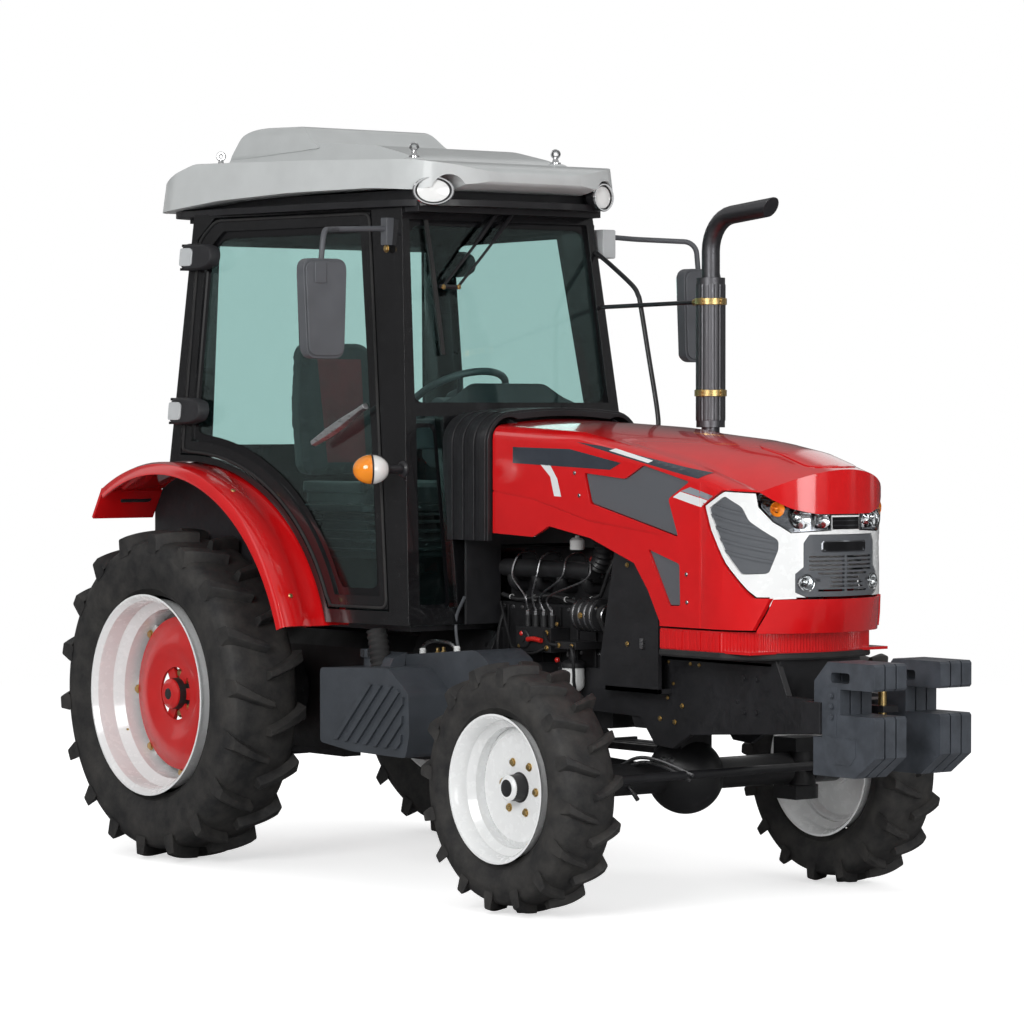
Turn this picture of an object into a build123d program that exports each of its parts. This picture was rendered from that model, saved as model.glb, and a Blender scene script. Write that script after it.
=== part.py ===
from build123d import *
import os
from math import atan2, cos, degrees, radians, sin, sqrt

# A compact four-wheel-drive farm tractor with a glazed cab, in millimetres.
# While it is built, x is measured forward from the rear axle, y to the left and z up from the ground.
# write() moves every piece so that the origin is under the middle of the whole machine.

# ---------------------------------------------------------------- driving dimensions
WHEELBASE = 2136
REAR_TRACK, FRONT_TRACK = 1396, 1468
REAR_TYRE_R, FRONT_TYRE_R = 627, 427
REAR_TYRE_W, FRONT_TYRE_W = 316, 232
REAR_RIM_R, FRONT_RIM_R = 381, 254
REAR_Y, FRONT_Y = REAR_TRACK / 2, FRONT_TRACK / 2
REAR_Z, FRONT_Z = REAR_TYRE_R, FRONT_TYRE_R

KINGPIN_Y = 545
STEER_ARM_X, STEER_ARM_Y = 250, 545

FENDER_R, FENDER_T = 880, 14
FENDER_IN, FENDER_OUT = 505, 800
DOOR_ARC_R = 905
DOOR_GAP = 8

# cab side wall: y = -(SIDE_Y - SIDE_DX * x - SIDE_DZ * z)
SIDE_Y, SIDE_DX, SIDE_DZ = 803.5, 0.13, 0.09
FRONT_X, FRONT_DZ = 1382, 0.1264
BACK_X, BACK_DZ = -157, 0.04
CAB_LOW, CAB_HIGH = 930, 2446
CAB_WALL = 55
DOOR_T = 42
GLASS_T = 8
HINGE_X, HINGE_OUT = -36, 24
HINGE_ZS = (1699, 2284)

BONNET_HALF = 335
BONNET_BACK, BONNET_NOSE = 1415, 2960
BONNET_HINGE = (1425, 1655)
SKIN = 14

HITCH_PIVOT = (-60, 455)
ROCKSHAFT = (-200, 985)
LIFT_REACH = 330
LINK_LENGTH = 830
LINK_Y = 325
LINK_ANGLE = -10

TAIL_X, NOSE_X = -913.4, 3330
ORIGIN_X = (TAIL_X + NOSE_X) / 2


# ---------------------------------------------------------------- helpers
def box(x0, x1, y0, y1, z0, z1):
    return Pos((x0 + x1) / 2, (y0 + y1) / 2, (z0 + z1) / 2) * Box(x1 - x0, y1 - y0, z1 - z0)


def prism_y(points, y0, y1):
    """A side-view outline of (x, z) points, from y0 to y1."""
    wire = Polyline([(x, y0, z) for x, z in points], close=True)
    return extrude(make_face(wire), amount=y1 - y0, dir=(0, 1, 0))


def prism_x(points, x0, x1):
    """A front-view outline of (y, z) points, from x0 to x1."""
    wire = Polyline([(x0, y, z) for y, z in points], close=True)
    return extrude(make_face(wire), amount=x1 - x0, dir=(1, 0, 0))


def prism_z(points, z0, z1):
    """A plan outline of (x, y) points, from z0 to z1."""
    wire = Polyline([(x, y, z0) for x, y in points], close=True)
    return extrude(make_face(wire), amount=z1 - z0, dir=(0, 0, 1))


def rod(start, end, radius):
    """A round bar between two points."""
    start, end = Vector(*start), Vector(*end)
    return Plane(start, z_dir=end - start) * Cylinder(
        radius, (end - start).length, align=(Align.CENTER, Align.CENTER, Align.MIN)
    )


def tube(points, radius, bends):
    """A round pipe along straight runs joined by arcs of the given radii."""
    path = FilletPolyline(*points, radius=bends)
    start = Plane(path @ 0, z_dir=path % 0)
    return sweep(start * Circle(radius), path=path)


def disc_y(x, z, radius, y0, y1):
    """A round plate about an axis along Y."""
    return rod((x, y0, z), (x, y1, z), radius)


def ring_y(profile, x=0, y=0, z=0):
    """A closed profile of (radius, y) points turned about an axis along Y."""
    wire = Polyline([(r, w, 0) for r, w in profile], close=True)
    return Pos(x, y, z) * revolve(make_face(wire), axis=Axis.Y)


def mirrored(shape):
    return mirror(shape, about=Plane.XZ)


def both(shape):
    return [shape, mirrored(shape)]


def write(name, *shapes):
    os.makedirs("parts", exist_ok=True)
    solids = []
    for shape in shapes:
        solids += (Pos(-ORIGIN_X, 0, 0) * shape).solids()
    kept = solids[0] if len(solids) == 1 else Compound(children=solids)
    kept.label = name
    export_step(kept, f"parts/{name}.step")
    low, high = kept.bounding_box().min, kept.bounding_box().max
    print(f"{name:24s} {len(solids):2d} solids  x {low.X:7.0f} {high.X:7.0f}"
          f"  y {low.Y:6.0f} {high.Y:6.0f}  z {low.Z:6.0f} {high.Z:6.0f}")


# ---------------------------------------------------------------- wheels
def lug(sections, angle):
    """One lug lofted through sections of (y, turn, base r, tip r, base half width, tip half width)."""
    faces = []
    for y, turn, base, tip, low_half, tip_half in sections:
        corners = []
        for radius, half in ((base, -low_half), (tip, -tip_half), (tip, tip_half), (base, low_half)):
            at = radians(angle + turn) + half / radius
            corners.append((radius * sin(at), y, -radius * cos(at)))
        faces.append(make_face(Polyline(corners, close=True)))
    return loft(faces, ruled=True)


def tyre(radius, width, bead, lugs, lug_height):
    """A carcass with two rows of lugs; the lowest lug of each row stands straight down."""
    half = width / 2
    crown = radius - lug_height
    carcass = ring_y([(bead, -half * 0.74), (bead + 30, -half * 0.9), ((bead + crown) / 2, -half),
                      (crown - 45, -half * 0.93), (crown, -half * 0.55), (crown, half * 0.55),
                      (crown - 45, half * 0.93), ((bead + crown) / 2, half), (bead + 30, half * 0.9),
                      (bead, half * 0.74)])
    sections = [  # y, turn, base r, tip r, base half width, tip half width
        (-8, 0, crown - 12, radius, 20, 13),
        (half * 0.5, 6, crown - 14, radius - 3, 21, 14),
        (half * 0.97, 13, crown - 70, radius - 22, 26, 17),
    ]
    row = [lug(sections, 360 / lugs * i) for i in range(lugs)]
    other = [Rot(0, 180 / lugs, 0) * mirrored(one) for one in row]
    return carcass.fuse(*row, *other)


def rim(radius, half, well, lip=14):
    """A drop-centre rim, open right through."""
    t = 7
    outline = [(radius, -half), (radius, -half + 8), (radius - lip, -half + 14), (radius - lip - 6, -half * 0.55),
               (well, -half * 0.32), (well, half * 0.32), (radius - lip - 6, half * 0.55),
               (radius - lip, half - 14), (radius, half - 8), (radius, half)]
    inner = [(r - t - 2, y) for r, y in reversed(outline[2:-2])]
    inner[0] = (radius - lip - t, half)
    inner[-1] = (radius - lip - t, -half)
    return ring_y(outline + inner)


def rear_wheel(side):
    centre = Pos(0, side * REAR_Y, REAR_Z)
    cover = tyre(REAR_TYRE_R, REAR_TYRE_W, REAR_RIM_R - 13, 18, 34)
    hoop = rim(REAR_RIM_R, 160, 330)
    dish = ring_y([(292, -8), (292, 2), (240, 20), (150, 20), (105, 6), (78, 6), (78, -4), (110, -4), (152, 10),
                   (236, 10), (284, -8)])
    clamps = [Rot(0, 45 * i, 0) * box(278, 325, -26, -8, -28, 28) for i in range(8)]
    hub = ring_y([(0, -40), (92, -40), (92, 5), (60, 5), (60, 62), (45, 74), (0, 74)])
    return [centre * (Rot(0, 0, 0 if side > 0 else 180) * s) for s in
            (cover, hoop.fuse(*clamps), dish.fuse(hub))]


def front_wheel(side):
    centre = Pos(WHEELBASE, side * FRONT_Y, FRONT_Z)
    cover = tyre(FRONT_TYRE_R, FRONT_TYRE_W, FRONT_RIM_R - 13, 16, 28)
    hoop = rim(FRONT_RIM_R, 112, 212)
    dish = ring_y([(206, -14), (206, -4), (176, 26), (120, 30), (84, 12), (40, 12), (40, 2), (88, 2), (124, 20),
                   (172, 16), (200, -14)])
    hub = ring_y([(0, -30), (70, -30), (70, 16), (42, 16), (42, 60), (34, 68), (0, 68)])
    return [centre * (Rot(0, 0, 0 if side > 0 else 180) * s) for s in (cover, hoop.fuse(dish, hub))]


# ---------------------------------------------------------------- frame, drive and axles
def transmission():
    case = prism_x([(-150, 400), (150, 400), (190, 470), (190, 800), (150, 860), (-150, 860), (-190, 800),
                    (-190, 470)], -330, 820)
    bell = prism_x([(-170, 480), (170, 480), (210, 560), (210, 800), (160, 900), (-160, 900), (-210, 800),
                    (-210, 560)], 820, 1255)
    trumpets = rod((0, -REAR_Y + 46, REAR_Z), (0, REAR_Y - 46, REAR_Z), 85)
    flares = [rod((0, s * 200, REAR_Z), (0, s * 275, REAR_Z), 140) for s in (-1, 1)]
    rock = rod((ROCKSHAFT[0], -235, ROCKSHAFT[1]), (ROCKSHAFT[0], 235, ROCKSHAFT[1]), 70)
    top = box(-320, 60, -150, 150, 850, 1050)
    transfer = box(1150, 1250, -60, 60, 425, 500)
    body = case.fuse(bell, trumpets, *flares, rock, top, transfer)
    for s in (-1, 1):
        px, pz = HITCH_PIVOT
        lug_in = box(px - 45, px + 45, s * 290 - 9, s * 290 + 9, pz - 45, REAR_Z)
        lug_out = box(px - 45, px + 45, s * 360 - 9, s * 360 + 9, pz - 45, REAR_Z)
        body = body.fuse(lug_in, lug_out, disc_y(px, pz, 12, s * 281, s * 369))
    for s in (-1, 1):
        body = body.fuse(prism_y([(-320, 880), (-400, 860), (-400, 990), (-320, 1010)], s * 45 - 9, s * 45 + 9))
    bore = disc_y(-365, 925, 12.7, -70, 70)
    stub = rod((-330, 0, 640), (-420, 0, 640), 17.5)
    return body.fuse(stub) - bore


def engine():
    block = box(1275, 1900, -150, 150, 640, 1010)
    sump = prism_y([(1280, 640), (1280, 520), (1500, 520), (1560, 560), (1880, 580), (1880, 640)], -120, 120)
    head = box(1300, 1880, -110, 110, 1010, 1180)
    cover = box(1330, 1850, -80, 80, 1180, 1240)
    return block.fuse(sump, head, cover)


def radiator():
    core = box(2150, 2250, -235, 235, 880, 1340)
    shroud = prism_x([(-225, 890), (225, 890), (225, 1330), (-225, 1330)], 2050, 2150)
    return core.fuse(shroud)


def front_support():
    rails = [prism_y([(1640, 640), (1640, 800), (2300, 850), (2950, 850), (2950, 640), (2760, 600), (2400, 600),
                      (2320, 640)], s * 165 - 15, s * 165 + 15) for s in (-1, 1)]
    nose = box(2930, 2960, -190, 190, 560, 860)
    cross = box(2480, 2560, -190, 190, 610, 660)
    post = box(WHEELBASE - 70, WHEELBASE + 70, -190, 190, 640, 700)
    return rails[0].fuse(rails[1], nose, cross, post)


def front_axle():
    centre = Pos(WHEELBASE, 0, FRONT_Z)
    beam = rod((0, -KINGPIN_Y + 78, 0), (0, KINGPIN_Y - 78, 0), 55)
    bowl = Sphere(135)
    pivot = box(-60, 60, -70, 70, 60, 640 - FRONT_Z)
    ends = []
    for s in (-1, 1):
        y = s * KINGPIN_Y
        ends.append(box(-60, 60, min(y - s * 80, y), max(y - s * 80, y), 62, 110))
        ends.append(Pos(0, y, 86) * Cylinder(60, 48))
        ends.append(box(-60, 60, min(y - s * 80, y), max(y - s * 80, y), -110, -62))
        ends.append(Pos(0, y, -86) * Cylinder(60, 48))
        ends.append(box(-60, 5, min(y - s * 80, y - s * 62), max(y - s * 80, y - s * 62), -110, 110))
    shaft = rod((-120, 0, 0), (-880, 0, 30), 24)
    return centre * beam.fuse(bowl, pivot, *ends, shaft)


def knuckle(side):
    centre = Pos(WHEELBASE, side * KINGPIN_Y, FRONT_Z)
    drop = Cylinder(52, 122)
    arm_y = -(KINGPIN_Y - STEER_ARM_Y)
    hub = rod((0, 30, 0), (0, FRONT_Y - KINGPIN_Y - 36, 0), 58)
    arm = prism_z([(0, -22), (60, -22), (STEER_ARM_X, arm_y - 20), (STEER_ARM_X + 22, arm_y), (STEER_ARM_X, arm_y + 20),
                   (70, 22), (0, 22)], -14, 14)
    eye = Pos(STEER_ARM_X, arm_y, 0) * Cylinder(13, 60)
    piece = drop.fuse(hub, arm) - eye
    if side < 0:
        piece = mirrored(piece)
    return centre * piece


def tie_rod():
    x, z = WHEELBASE + STEER_ARM_X, FRONT_Z + 30
    bar = rod((x, -STEER_ARM_Y, z), (x, STEER_ARM_Y, z), 15)
    pins = [rod((x, s * STEER_ARM_Y, FRONT_Z - 16), (x, s * STEER_ARM_Y, z), 12) for s in (-1, 1)]
    return bar.fuse(*pins)


def front_weights():
    slabs = []
    outline = [(2962, 520), (3250, 520), (3330, 560), (3330, 700), (3270, 720), (3270, 800), (3330, 815),
               (3330, 880), (3060, 880), (3060, 800), (2962, 800)]
    for y in (-205, -150, -95, 95, 150, 205):
        slabs.append(prism_y(outline, y - 22, y + 22))
    carrier = box(2962, 3100, -227, 227, 640, 700)
    return slabs[0].fuse(*slabs[1:], carrier)


def drawbar():
    bar = box(-640, 150, -40, 40, 360, 395)
    hanger = box(-330, -270, -90, 90, 340, 400)
    return bar.fuse(hanger) - rod((-600, 0, 300), (-600, 0, 500), 15)


# ---------------------------------------------------------------- tank and step
def fuel_tank():
    rear = prism_y([(905, 475), (1420, 470), (1440, 560), (1440, 760), (905, 775)], -700, -330)
    saddle = prism_y([(1020, 760), (1180, 860), (1430, 850), (1500, 780), (1500, 600), (1440, 480)], -520, -300)
    return rear.fuse(saddle)


def left_step():
    case = box(960, 1400, 330, 560, 560, 800)
    plates = [box(1000, 1300, 560, 720, z, z + 25) for z in (420, 640)]
    hangers = [box(x, x + 15, 545, 720, 420, 700) for x in (985, 1300)]
    return case.fuse(*plates, *hangers)


# ---------------------------------------------------------------- cab
def cab_ring(z, inset):
    """The cab's plan outline at a height: two slanted sides, a raked front and an upright back."""
    front = FRONT_X - FRONT_DZ * z - inset
    back = BACK_X + BACK_DZ * z + inset
    corners = []
    for x in (back, front):
        corners.append((x, -(SIDE_Y - SIDE_DX * x - SIDE_DZ * z - inset), z))
    wire = Polyline([corners[0], corners[1], (corners[1][0], -corners[1][1], z),
                     (corners[0][0], -corners[0][1], z)], close=True)
    return make_face(wire)


def cab_block(inset, low=CAB_LOW, high=CAB_HIGH):
    return loft([cab_ring(low, inset), cab_ring(high, inset)], ruled=True)


def side_slab(outer, inner):
    """The space between two planes parallel to the right cab side, measured outward from its face."""
    face = Plane(origin=(500, -SIDE_Y + SIDE_DX * 500 + SIDE_DZ * 1600, 1600), x_dir=(1, SIDE_DX, 0),
                 z_dir=(SIDE_DX, -1, SIDE_DZ))
    return face * (Pos(0, 0, (outer + inner) / 2) * Box(4000, 4000, outer - inner))


def hinge_point(z):
    """A point of the right door's hinge line, outside the cab side."""
    return HINGE_X, -(SIDE_Y - SIDE_DX * HINGE_X - SIDE_DZ * z) - HINGE_OUT, z


def arch(radius, y0, y1):
    """A cylinder about the rear axle."""
    return disc_y(0, REAR_Z, radius, y0, y1)


def door_outline(gap):
    """Side-view outline of the doorway, made smaller by gap, still without its wheel-arch curve."""
    return [(-30 + gap, 2351 - gap), (60 + gap, 2432 - gap), (915 - gap, 2432 - gap), (1158 - gap, 978 + gap),
            (200, 978 + gap), (-40 + gap, 1500)]


def door_shape(gap, outer, inner):
    shape = prism_y(door_outline(gap), -1000, 0) & side_slab(outer, inner)
    return shape - arch(DOOR_ARC_R + gap, -1200, 0)


def cab_frame():
    shell = cab_block(0) - cab_block(CAB_WALL, CAB_LOW - 5, CAB_HIGH + 5)
    doorway = prism_y(door_outline(0), -1000, 0) - arch(DOOR_ARC_R, -1200, 10)
    shell = shell - doorway - mirrored(doorway)
    for s in (-1, 1):
        shell -= arch(FENDER_R + 2, min(s * 495, s * 1200), max(s * 495, s * 1200))
    shell -= prism_x([(-452, 1730), (452, 1730), (415, 2395), (-415, 2395)], 900, 1400)
    for s in (-1, 1):
        shell -= prism_x([(s * 330, 990), (s * 500, 990), (s * 452, 1680), (s * 330, 1680)], 900, 1400)
    shell -= box(-400, 0, -495, 495, 900, 1090)
    shell -= prism_x([(-520, 1570), (520, 1570), (490, 2330), (-490, 2330)], -400, 200)
    forks = []
    for z in HINGE_ZS:
        for low, high in ((z - 50, z - 40), (z + 40, z + 50)):
            foot = prism_y([(-75, low), (-46, low), (-46, high), (-75, high)], -1000, 0) & side_slab(12, -4)
            plate = prism_y([(-75, low), (-28, low), (-28, high), (-75, high)], -1000, 0)
            forks += [foot, plate & side_slab(HINGE_OUT + 10, 8)]
        forks.append(rod(hinge_point(z - 45), hinge_point(z + 45), 6))
    shell = shell.fuse(*forks, *[mirrored(fork) for fork in forks])
    return shell


def door(side):
    panel = door_shape(DOOR_GAP, 0, -DOOR_T)
    rim_width = 45
    opening = door_shape(DOOR_GAP + rim_width, 50, -100)
    frame = panel - opening
    hinges = []
    for z in HINGE_ZS:
        cover = prism_y([(HINGE_X, z - 36), (90, z - 36), (90, z + 36), (HINGE_X, z + 36)], -1000, 0)
        cover = cover & side_slab(HINGE_OUT + 14, HINGE_OUT - 14)
        root = prism_y([(-18, z - 30), (80, z - 30), (80, z + 30), (-18, z + 30)], -1000, 0) & side_slab(12, -6)
        low, high = hinge_point(z - 36), hinge_point(z + 36)
        hinges += [cover, root, rod(low, high, 17)]
    frame = frame.fuse(*hinges)
    for z in HINGE_ZS:
        frame -= rod(hinge_point(z - 60), hinge_point(z + 60), 6.5)
    glass = door_shape(DOOR_GAP + rim_width, -12, -12 - GLASS_T)
    if side > 0:
        frame, glass = mirrored(frame), mirrored(glass)
    return frame, glass


def cab_glass():
    front = cab_block(18) - cab_block(18 + GLASS_T, CAB_LOW - 5, CAB_HIGH + 5)
    screen = front & prism_x([(-452, 1730), (452, 1730), (415, 2395), (-415, 2395)], 900, 1400)
    lower = [front & prism_x([(s * 330, 990), (s * 500, 990), (s * 452, 1680), (s * 330, 1680)], 900, 1400)
             for s in (-1, 1)]
    rear = front & prism_x([(-520, 1570), (520, 1570), (490, 2330), (-490, 2330)], -400, 200)
    return [screen, *lower, rear]


def cab_floor():
    plate = box(240, 1200, -500, 500, 905, 925)
    shelf = box(-50, 240, -490, 490, 1120, 1140)
    riser = box(240, 260, -490, 490, 925, 1140)
    return plate.fuse(shelf, riser)


def roof():
    low, high = 2450, 2560
    base = [(-330, -500), (-260, -630), (700, -580), (1180, -500), (1290, -380)]
    outline = base + [(x, -y) for x, y in reversed(base)]
    slab = prism_z(outline, low, high)
    crown = loft([make_face(Polyline([(x, y, high) for x, y in outline], close=True)),
                  make_face(Polyline([(-250 + (x + 330) * 0.91, y * 0.86, high + 75) for x, y in outline], close=True))],
                 ruled=True)
    hump = loft([Plane.XY.offset(2630) * Pos(420, 0) * Rectangle(1260, 760),
                 Plane.XY.offset(2790) * Pos(330, 0) * Rectangle(960, 560)], ruled=True)
    return slab.fuse(crown, hump)


def fender():
    """One rear mudguard: a band about the rear axle, its rear flap and its rolled outer lip."""
    band = arch(FENDER_R, -FENDER_OUT, -FENDER_IN) - arch(FENDER_R - FENDER_T, -FENDER_OUT - 1, -FENDER_IN + 1)
    keep = prism_y([(0, REAR_Z), (1400, 960), (1400, 2200), (-500, 2200), (-460, 1330)], -900, 0)
    band = band & keep
    lip = arch(FENDER_R, -FENDER_OUT, -FENDER_OUT + 14) - arch(FENDER_R - 34, -FENDER_OUT - 1, -FENDER_OUT + 15)
    return band.fuse(lip & keep)


def inner_walls():
    wall = (arch(FENDER_R - FENDER_T - 1, -FENDER_IN - 14, -FENDER_IN) & box(-450, 1000, -600, 0, 930, 2000))
    return both(wall)


# ---------------------------------------------------------------- cab fittings
def seat():
    base = box(120, 520, -170, 170, 1145, 1330)
    cushion = box(80, 560, -230, 230, 1330, 1430)
    back = prism_y([(40, 1430), (140, 1430), (60, 2000), (-40, 2000)], -220, 220)
    return base.fuse(cushion, back)


def dashboard():
    pedestal = box(960, 1095, -150, 150, 925, 1500)
    top = prism_y([(900, 1500), (1095, 1500), (1095, 1680), (980, 1720)], -190, 190)
    return pedestal.fuse(top)


def steering_wheel():
    tilt = Plane(origin=(840, 0, 1760), z_dir=(-0.55, 0, 0.83))
    loop = tilt * Torus(190, 13)
    column = rod((840, 0, 1760), (935, 0, 1617), 22)
    spokes = [tilt * (Rot(0, 0, a) * Pos(95, 0, 0) * Box(190, 26, 12)) for a in (90, 210, 330)]
    return loop.fuse(column, *spokes) - dashboard()


# ---------------------------------------------------------------- bonnet and nose
def hood_section(x, half, low, top, round_r):
    """A front-view section of the bonnet: upright flanks and a rounded top."""
    corner = round_r
    points = [Line((x, -half, low), (x, -half, top - corner)),
              ThreePointArc((x, -half, top - corner), (x, -half + corner * 0.3, top - corner * 0.3),
                            (x, -half + corner, top - 6)),
              ThreePointArc((x, -half + corner, top - 6), (x, 0, top), (x, half - corner, top - 6)),
              ThreePointArc((x, half - corner, top - 6), (x, half - corner * 0.3, top - corner * 0.3),
                            (x, half, top - corner)),
              Line((x, half, top - corner), (x, half, low)),
              Line((x, half, low), (x, -half, low))]
    return make_face(Wire(points))


HOOD = [  # x, half width, low z, top z, corner radius
    (1415, 335, 1150, 1672, 90),
    (1890, 335, 1150, 1650, 95),
    (2470, 330, 1150, 1610, 110),
    (2800, 280, 1150, 1540, 110),
    (2960, 215, 1150, 1440, 90),
]


def hood_solid(inset):
    faces = [hood_section(x - (inset if i == len(HOOD) - 1 else 0), half - inset, low - inset, top - inset, r - inset / 2)
             for i, (x, half, low, top, r) in enumerate(HOOD)]
    return loft(faces, ruled=True)


def bonnet():
    shell = hood_solid(0) - (hood_solid(SKIN) + box(1300, 1440, -BONNET_HALF + SKIN, BONNET_HALF - SKIN, 1000, 1560))
    lower = prism_y([(1300, 900), (1300, 1290), (1780, 1296), (2203, 1189), (2389, 1000), (2389, 900)], -500, 500)
    shell = shell - lower
    x, z = BONNET_HINGE
    half = (shell & box(1300, 3100, -500, 0, 900, 1800)).fuse(disc_y(x, z, 10, -232, -150))
    half = half - box(x - 20, x + 16, -252, -232, z - 20, z + 30) - disc_y(x, z, 6.5, -240, -140)
    return half.fuse(mirrored(half))


def side_panels():
    pieces = []
    for s in (-1, 1):
        flank = prism_y([(2395, 860), (2395, 990), (2300, 1090), (2330, 1140), (2790, 1140), (2790, 860)],
                        min(s * 318, s * 332), max(s * 318, s * 332))
        pieces.append(flank)
    front = box(2775, 2860, -332, 332, 860, 1060)
    return pieces[0].fuse(pieces[1], front)


def nose_grille():
    return box(2962, 2985, -190, 190, 1160, 1330)


def headlamps():
    return [box(2962, 2990, s * 120 - 60, s * 120 + 60, 1340, 1400) for s in (-1, 1)]


def cowl():
    block = prism_x([(-330, 930), (330, 930), (330, 1500), (250, 1690), (-250, 1690), (-330, 1500)], 1290, 1395)
    block -= box(1200, 1500, -250, 250, 900, 1300)
    x, z = BONNET_HINGE
    arm = prism_y([(1380, 1600), (x + 8, z - 8), (x + 8, z + 8), (x - 6, z + 9), (1380, 1660)], 237, 247)
    return block.fuse(*both(arm.fuse(disc_y(x, z, 6, 160, 242))))


def exhaust():
    x, y = 1800, 405
    stack = tube([(x, 150, 1110), (x, y, 1110), (x, y, 2400), (x + 345, y, 2420)], 33, [90, 120])
    shield = rod((x, y, 1640), (x, y, 2180), 52)
    return stack.fuse(shield)


def mirrors():
    pieces = []
    for s in (-1, 1):
        head = box(1160, 1210, s * 880 - 100, s * 880 + 100, 1890, 2230)
        arm = rod((1040, s * 468, 2330), (1180, s * 860, 2270), 10)
        drop = rod((1180, s * 860, 2270), (1180, s * 860, 2200), 10)
        pieces.append(head.fuse(arm, drop))
    return pieces


def lamps():
    pieces = []
    for s in (-1, 1):
        pieces.append(rod((1230, s * 362, 2495), (1300, s * 362, 2495), 45))
        pieces.append(rod((-365, s * 560, 2510), (-332, s * 500, 2510), 40))
        pieces.append(box(1100, 1170, s * 620 - 40, s * 620 + 40, 1455, 1525))
    shell = roof()
    return [piece - shell for piece in pieces]


# ---------------------------------------------------------------- three-point hitch
def hitch_point(origin, reach, angle):
    return origin[0] - reach * cos(radians(angle)), origin[1] + reach * sin(radians(angle))


def lower_link(side):
    px, pz = HITCH_PIVOT
    ex, ez = hitch_point(HITCH_PIVOT, LINK_LENGTH, LINK_ANGLE)
    jx, jz = hitch_point(HITCH_PIVOT, LIFT_REACH, LINK_ANGLE)
    y = side * LINK_Y
    bar = prism_y([(px, pz - 30), (px, pz + 30), (ex, ez + 26), (ex, ez - 26)], y - 11, y + 11)
    front_eye = disc_y(px, pz, 34, y - 11, y + 11)
    rear_eye = disc_y(ex, ez, 36, y - 18, y + 18)
    lift_hole = disc_y(jx, jz, 14.5, y - 40, y + 40)
    return (bar.fuse(front_eye, rear_eye) - disc_y(px, pz, 12.6, y - 40, y + 40) - lift_hole
            - disc_y(ex, ez, 14.3, y - 40, y + 40))


def lift_arms():
    ax, az = ROCKSHAFT
    tx, tz = hitch_point(ROCKSHAFT, LIFT_REACH, LINK_ANGLE)
    arms = []
    for s in (-1, 1):
        y = s * 268
        arm = prism_y([(ax, az - 48), (ax, az + 48), (tx, tz + 28), (tx, tz - 28)], y - 11, y + 11)
        arm = arm.fuse(disc_y(ax, az, 48, y - 11, y + 11), disc_y(ax, az, 32, min(s * 240, y), max(s * 240, y)), disc_y(tx, tz, 28, y - 11, y + 11),
                       disc_y(tx, tz, 12, min(s * 268, s * 330), max(s * 268, s * 330)))
        arms.append(arm)
    return arms


def lift_rod(side):
    tx, tz = hitch_point(ROCKSHAFT, LIFT_REACH, LINK_ANGLE)
    jx, jz = hitch_point(HITCH_PIVOT, LIFT_REACH, LINK_ANGLE)
    y = side * 297
    bar = rod((tx, y, tz), (jx, y, jz), 12)
    top = disc_y(tx, tz, 26, y - 10, y + 10)
    low = disc_y(jx, jz, 26, y - 10, y + 10)
    pin = disc_y(jx, jz, 14, min(side * 297, side * 345), max(side * 297, side * 345))
    return bar.fuse(top, low, pin) - disc_y(tx, tz, 12.6, y - 20, y + 20)


# ---------------------------------------------------------------- all pieces
def main():
    for name, side in (("left", 1), ("right", -1)):
        tyre_r, rim_r, disc_r = rear_wheel(side)
        write(f"rear_tyre_{name}", tyre_r)
        write(f"rear_rim_{name}", rim_r)
        write(f"rear_disc_{name}", disc_r)
        tyre_f, rim_f = front_wheel(side)
        write(f"front_tyre_{name}", tyre_f)
        write(f"front_rim_{name}", rim_f)
        write(f"knuckle_{name}", knuckle(side))
        frame, glass = door(side)
        write(f"door_{name}", frame)
        write(f"door_glass_{name}", glass)
        write(f"lower_link_{name}", lower_link(side))
        write(f"lift_rod_{name}", lift_rod(side))
        write(f"fender_{name}", fender() if side < 0 else mirrored(fender()))
    write("transmission", transmission())
    write("engine", engine())
    write("radiator", radiator())
    write("front_support", front_support())
    write("front_axle", front_axle())
    write("tie_rod", tie_rod())
    write("front_weights", front_weights())
    write("drawbar", drawbar())
    write("fuel_tank", fuel_tank())
    write("left_step", left_step())
    write("cab_frame", cab_frame())
    write("cab_glass", *cab_glass())
    write("cab_floor", cab_floor(), *inner_walls())
    write("roof", roof())
    write("seat", seat())
    write("dashboard", dashboard())
    write("steering_wheel", steering_wheel())
    write("bonnet", bonnet())
    write("side_panels", side_panels())
    write("nose_grille", nose_grille())
    write("headlamps", *headlamps())
    write("cowl", cowl())
    write("exhaust", exhaust())
    write("mirrors", *mirrors())
    write("lamps", *lamps())
    write("lift_arms", *lift_arms())


main()
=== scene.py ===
# %% [markdown]
# # A farm tractor, dressed in Blender
# The steelwork of this tractor already exists as solid CAD parts. This lesson gives every part a real
# finish and adds what a CAD model leaves out: tyre treads, bolts, hoses, lamps, glass edges, stripes.

# %% Load the frame
from math import atan2, cos, hypot, pi, radians, sin, sqrt, tan, tau

import bmesh
import bpy
from mathutils import Matrix, Vector
from mathutils.bvhtree import BVHTree


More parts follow.
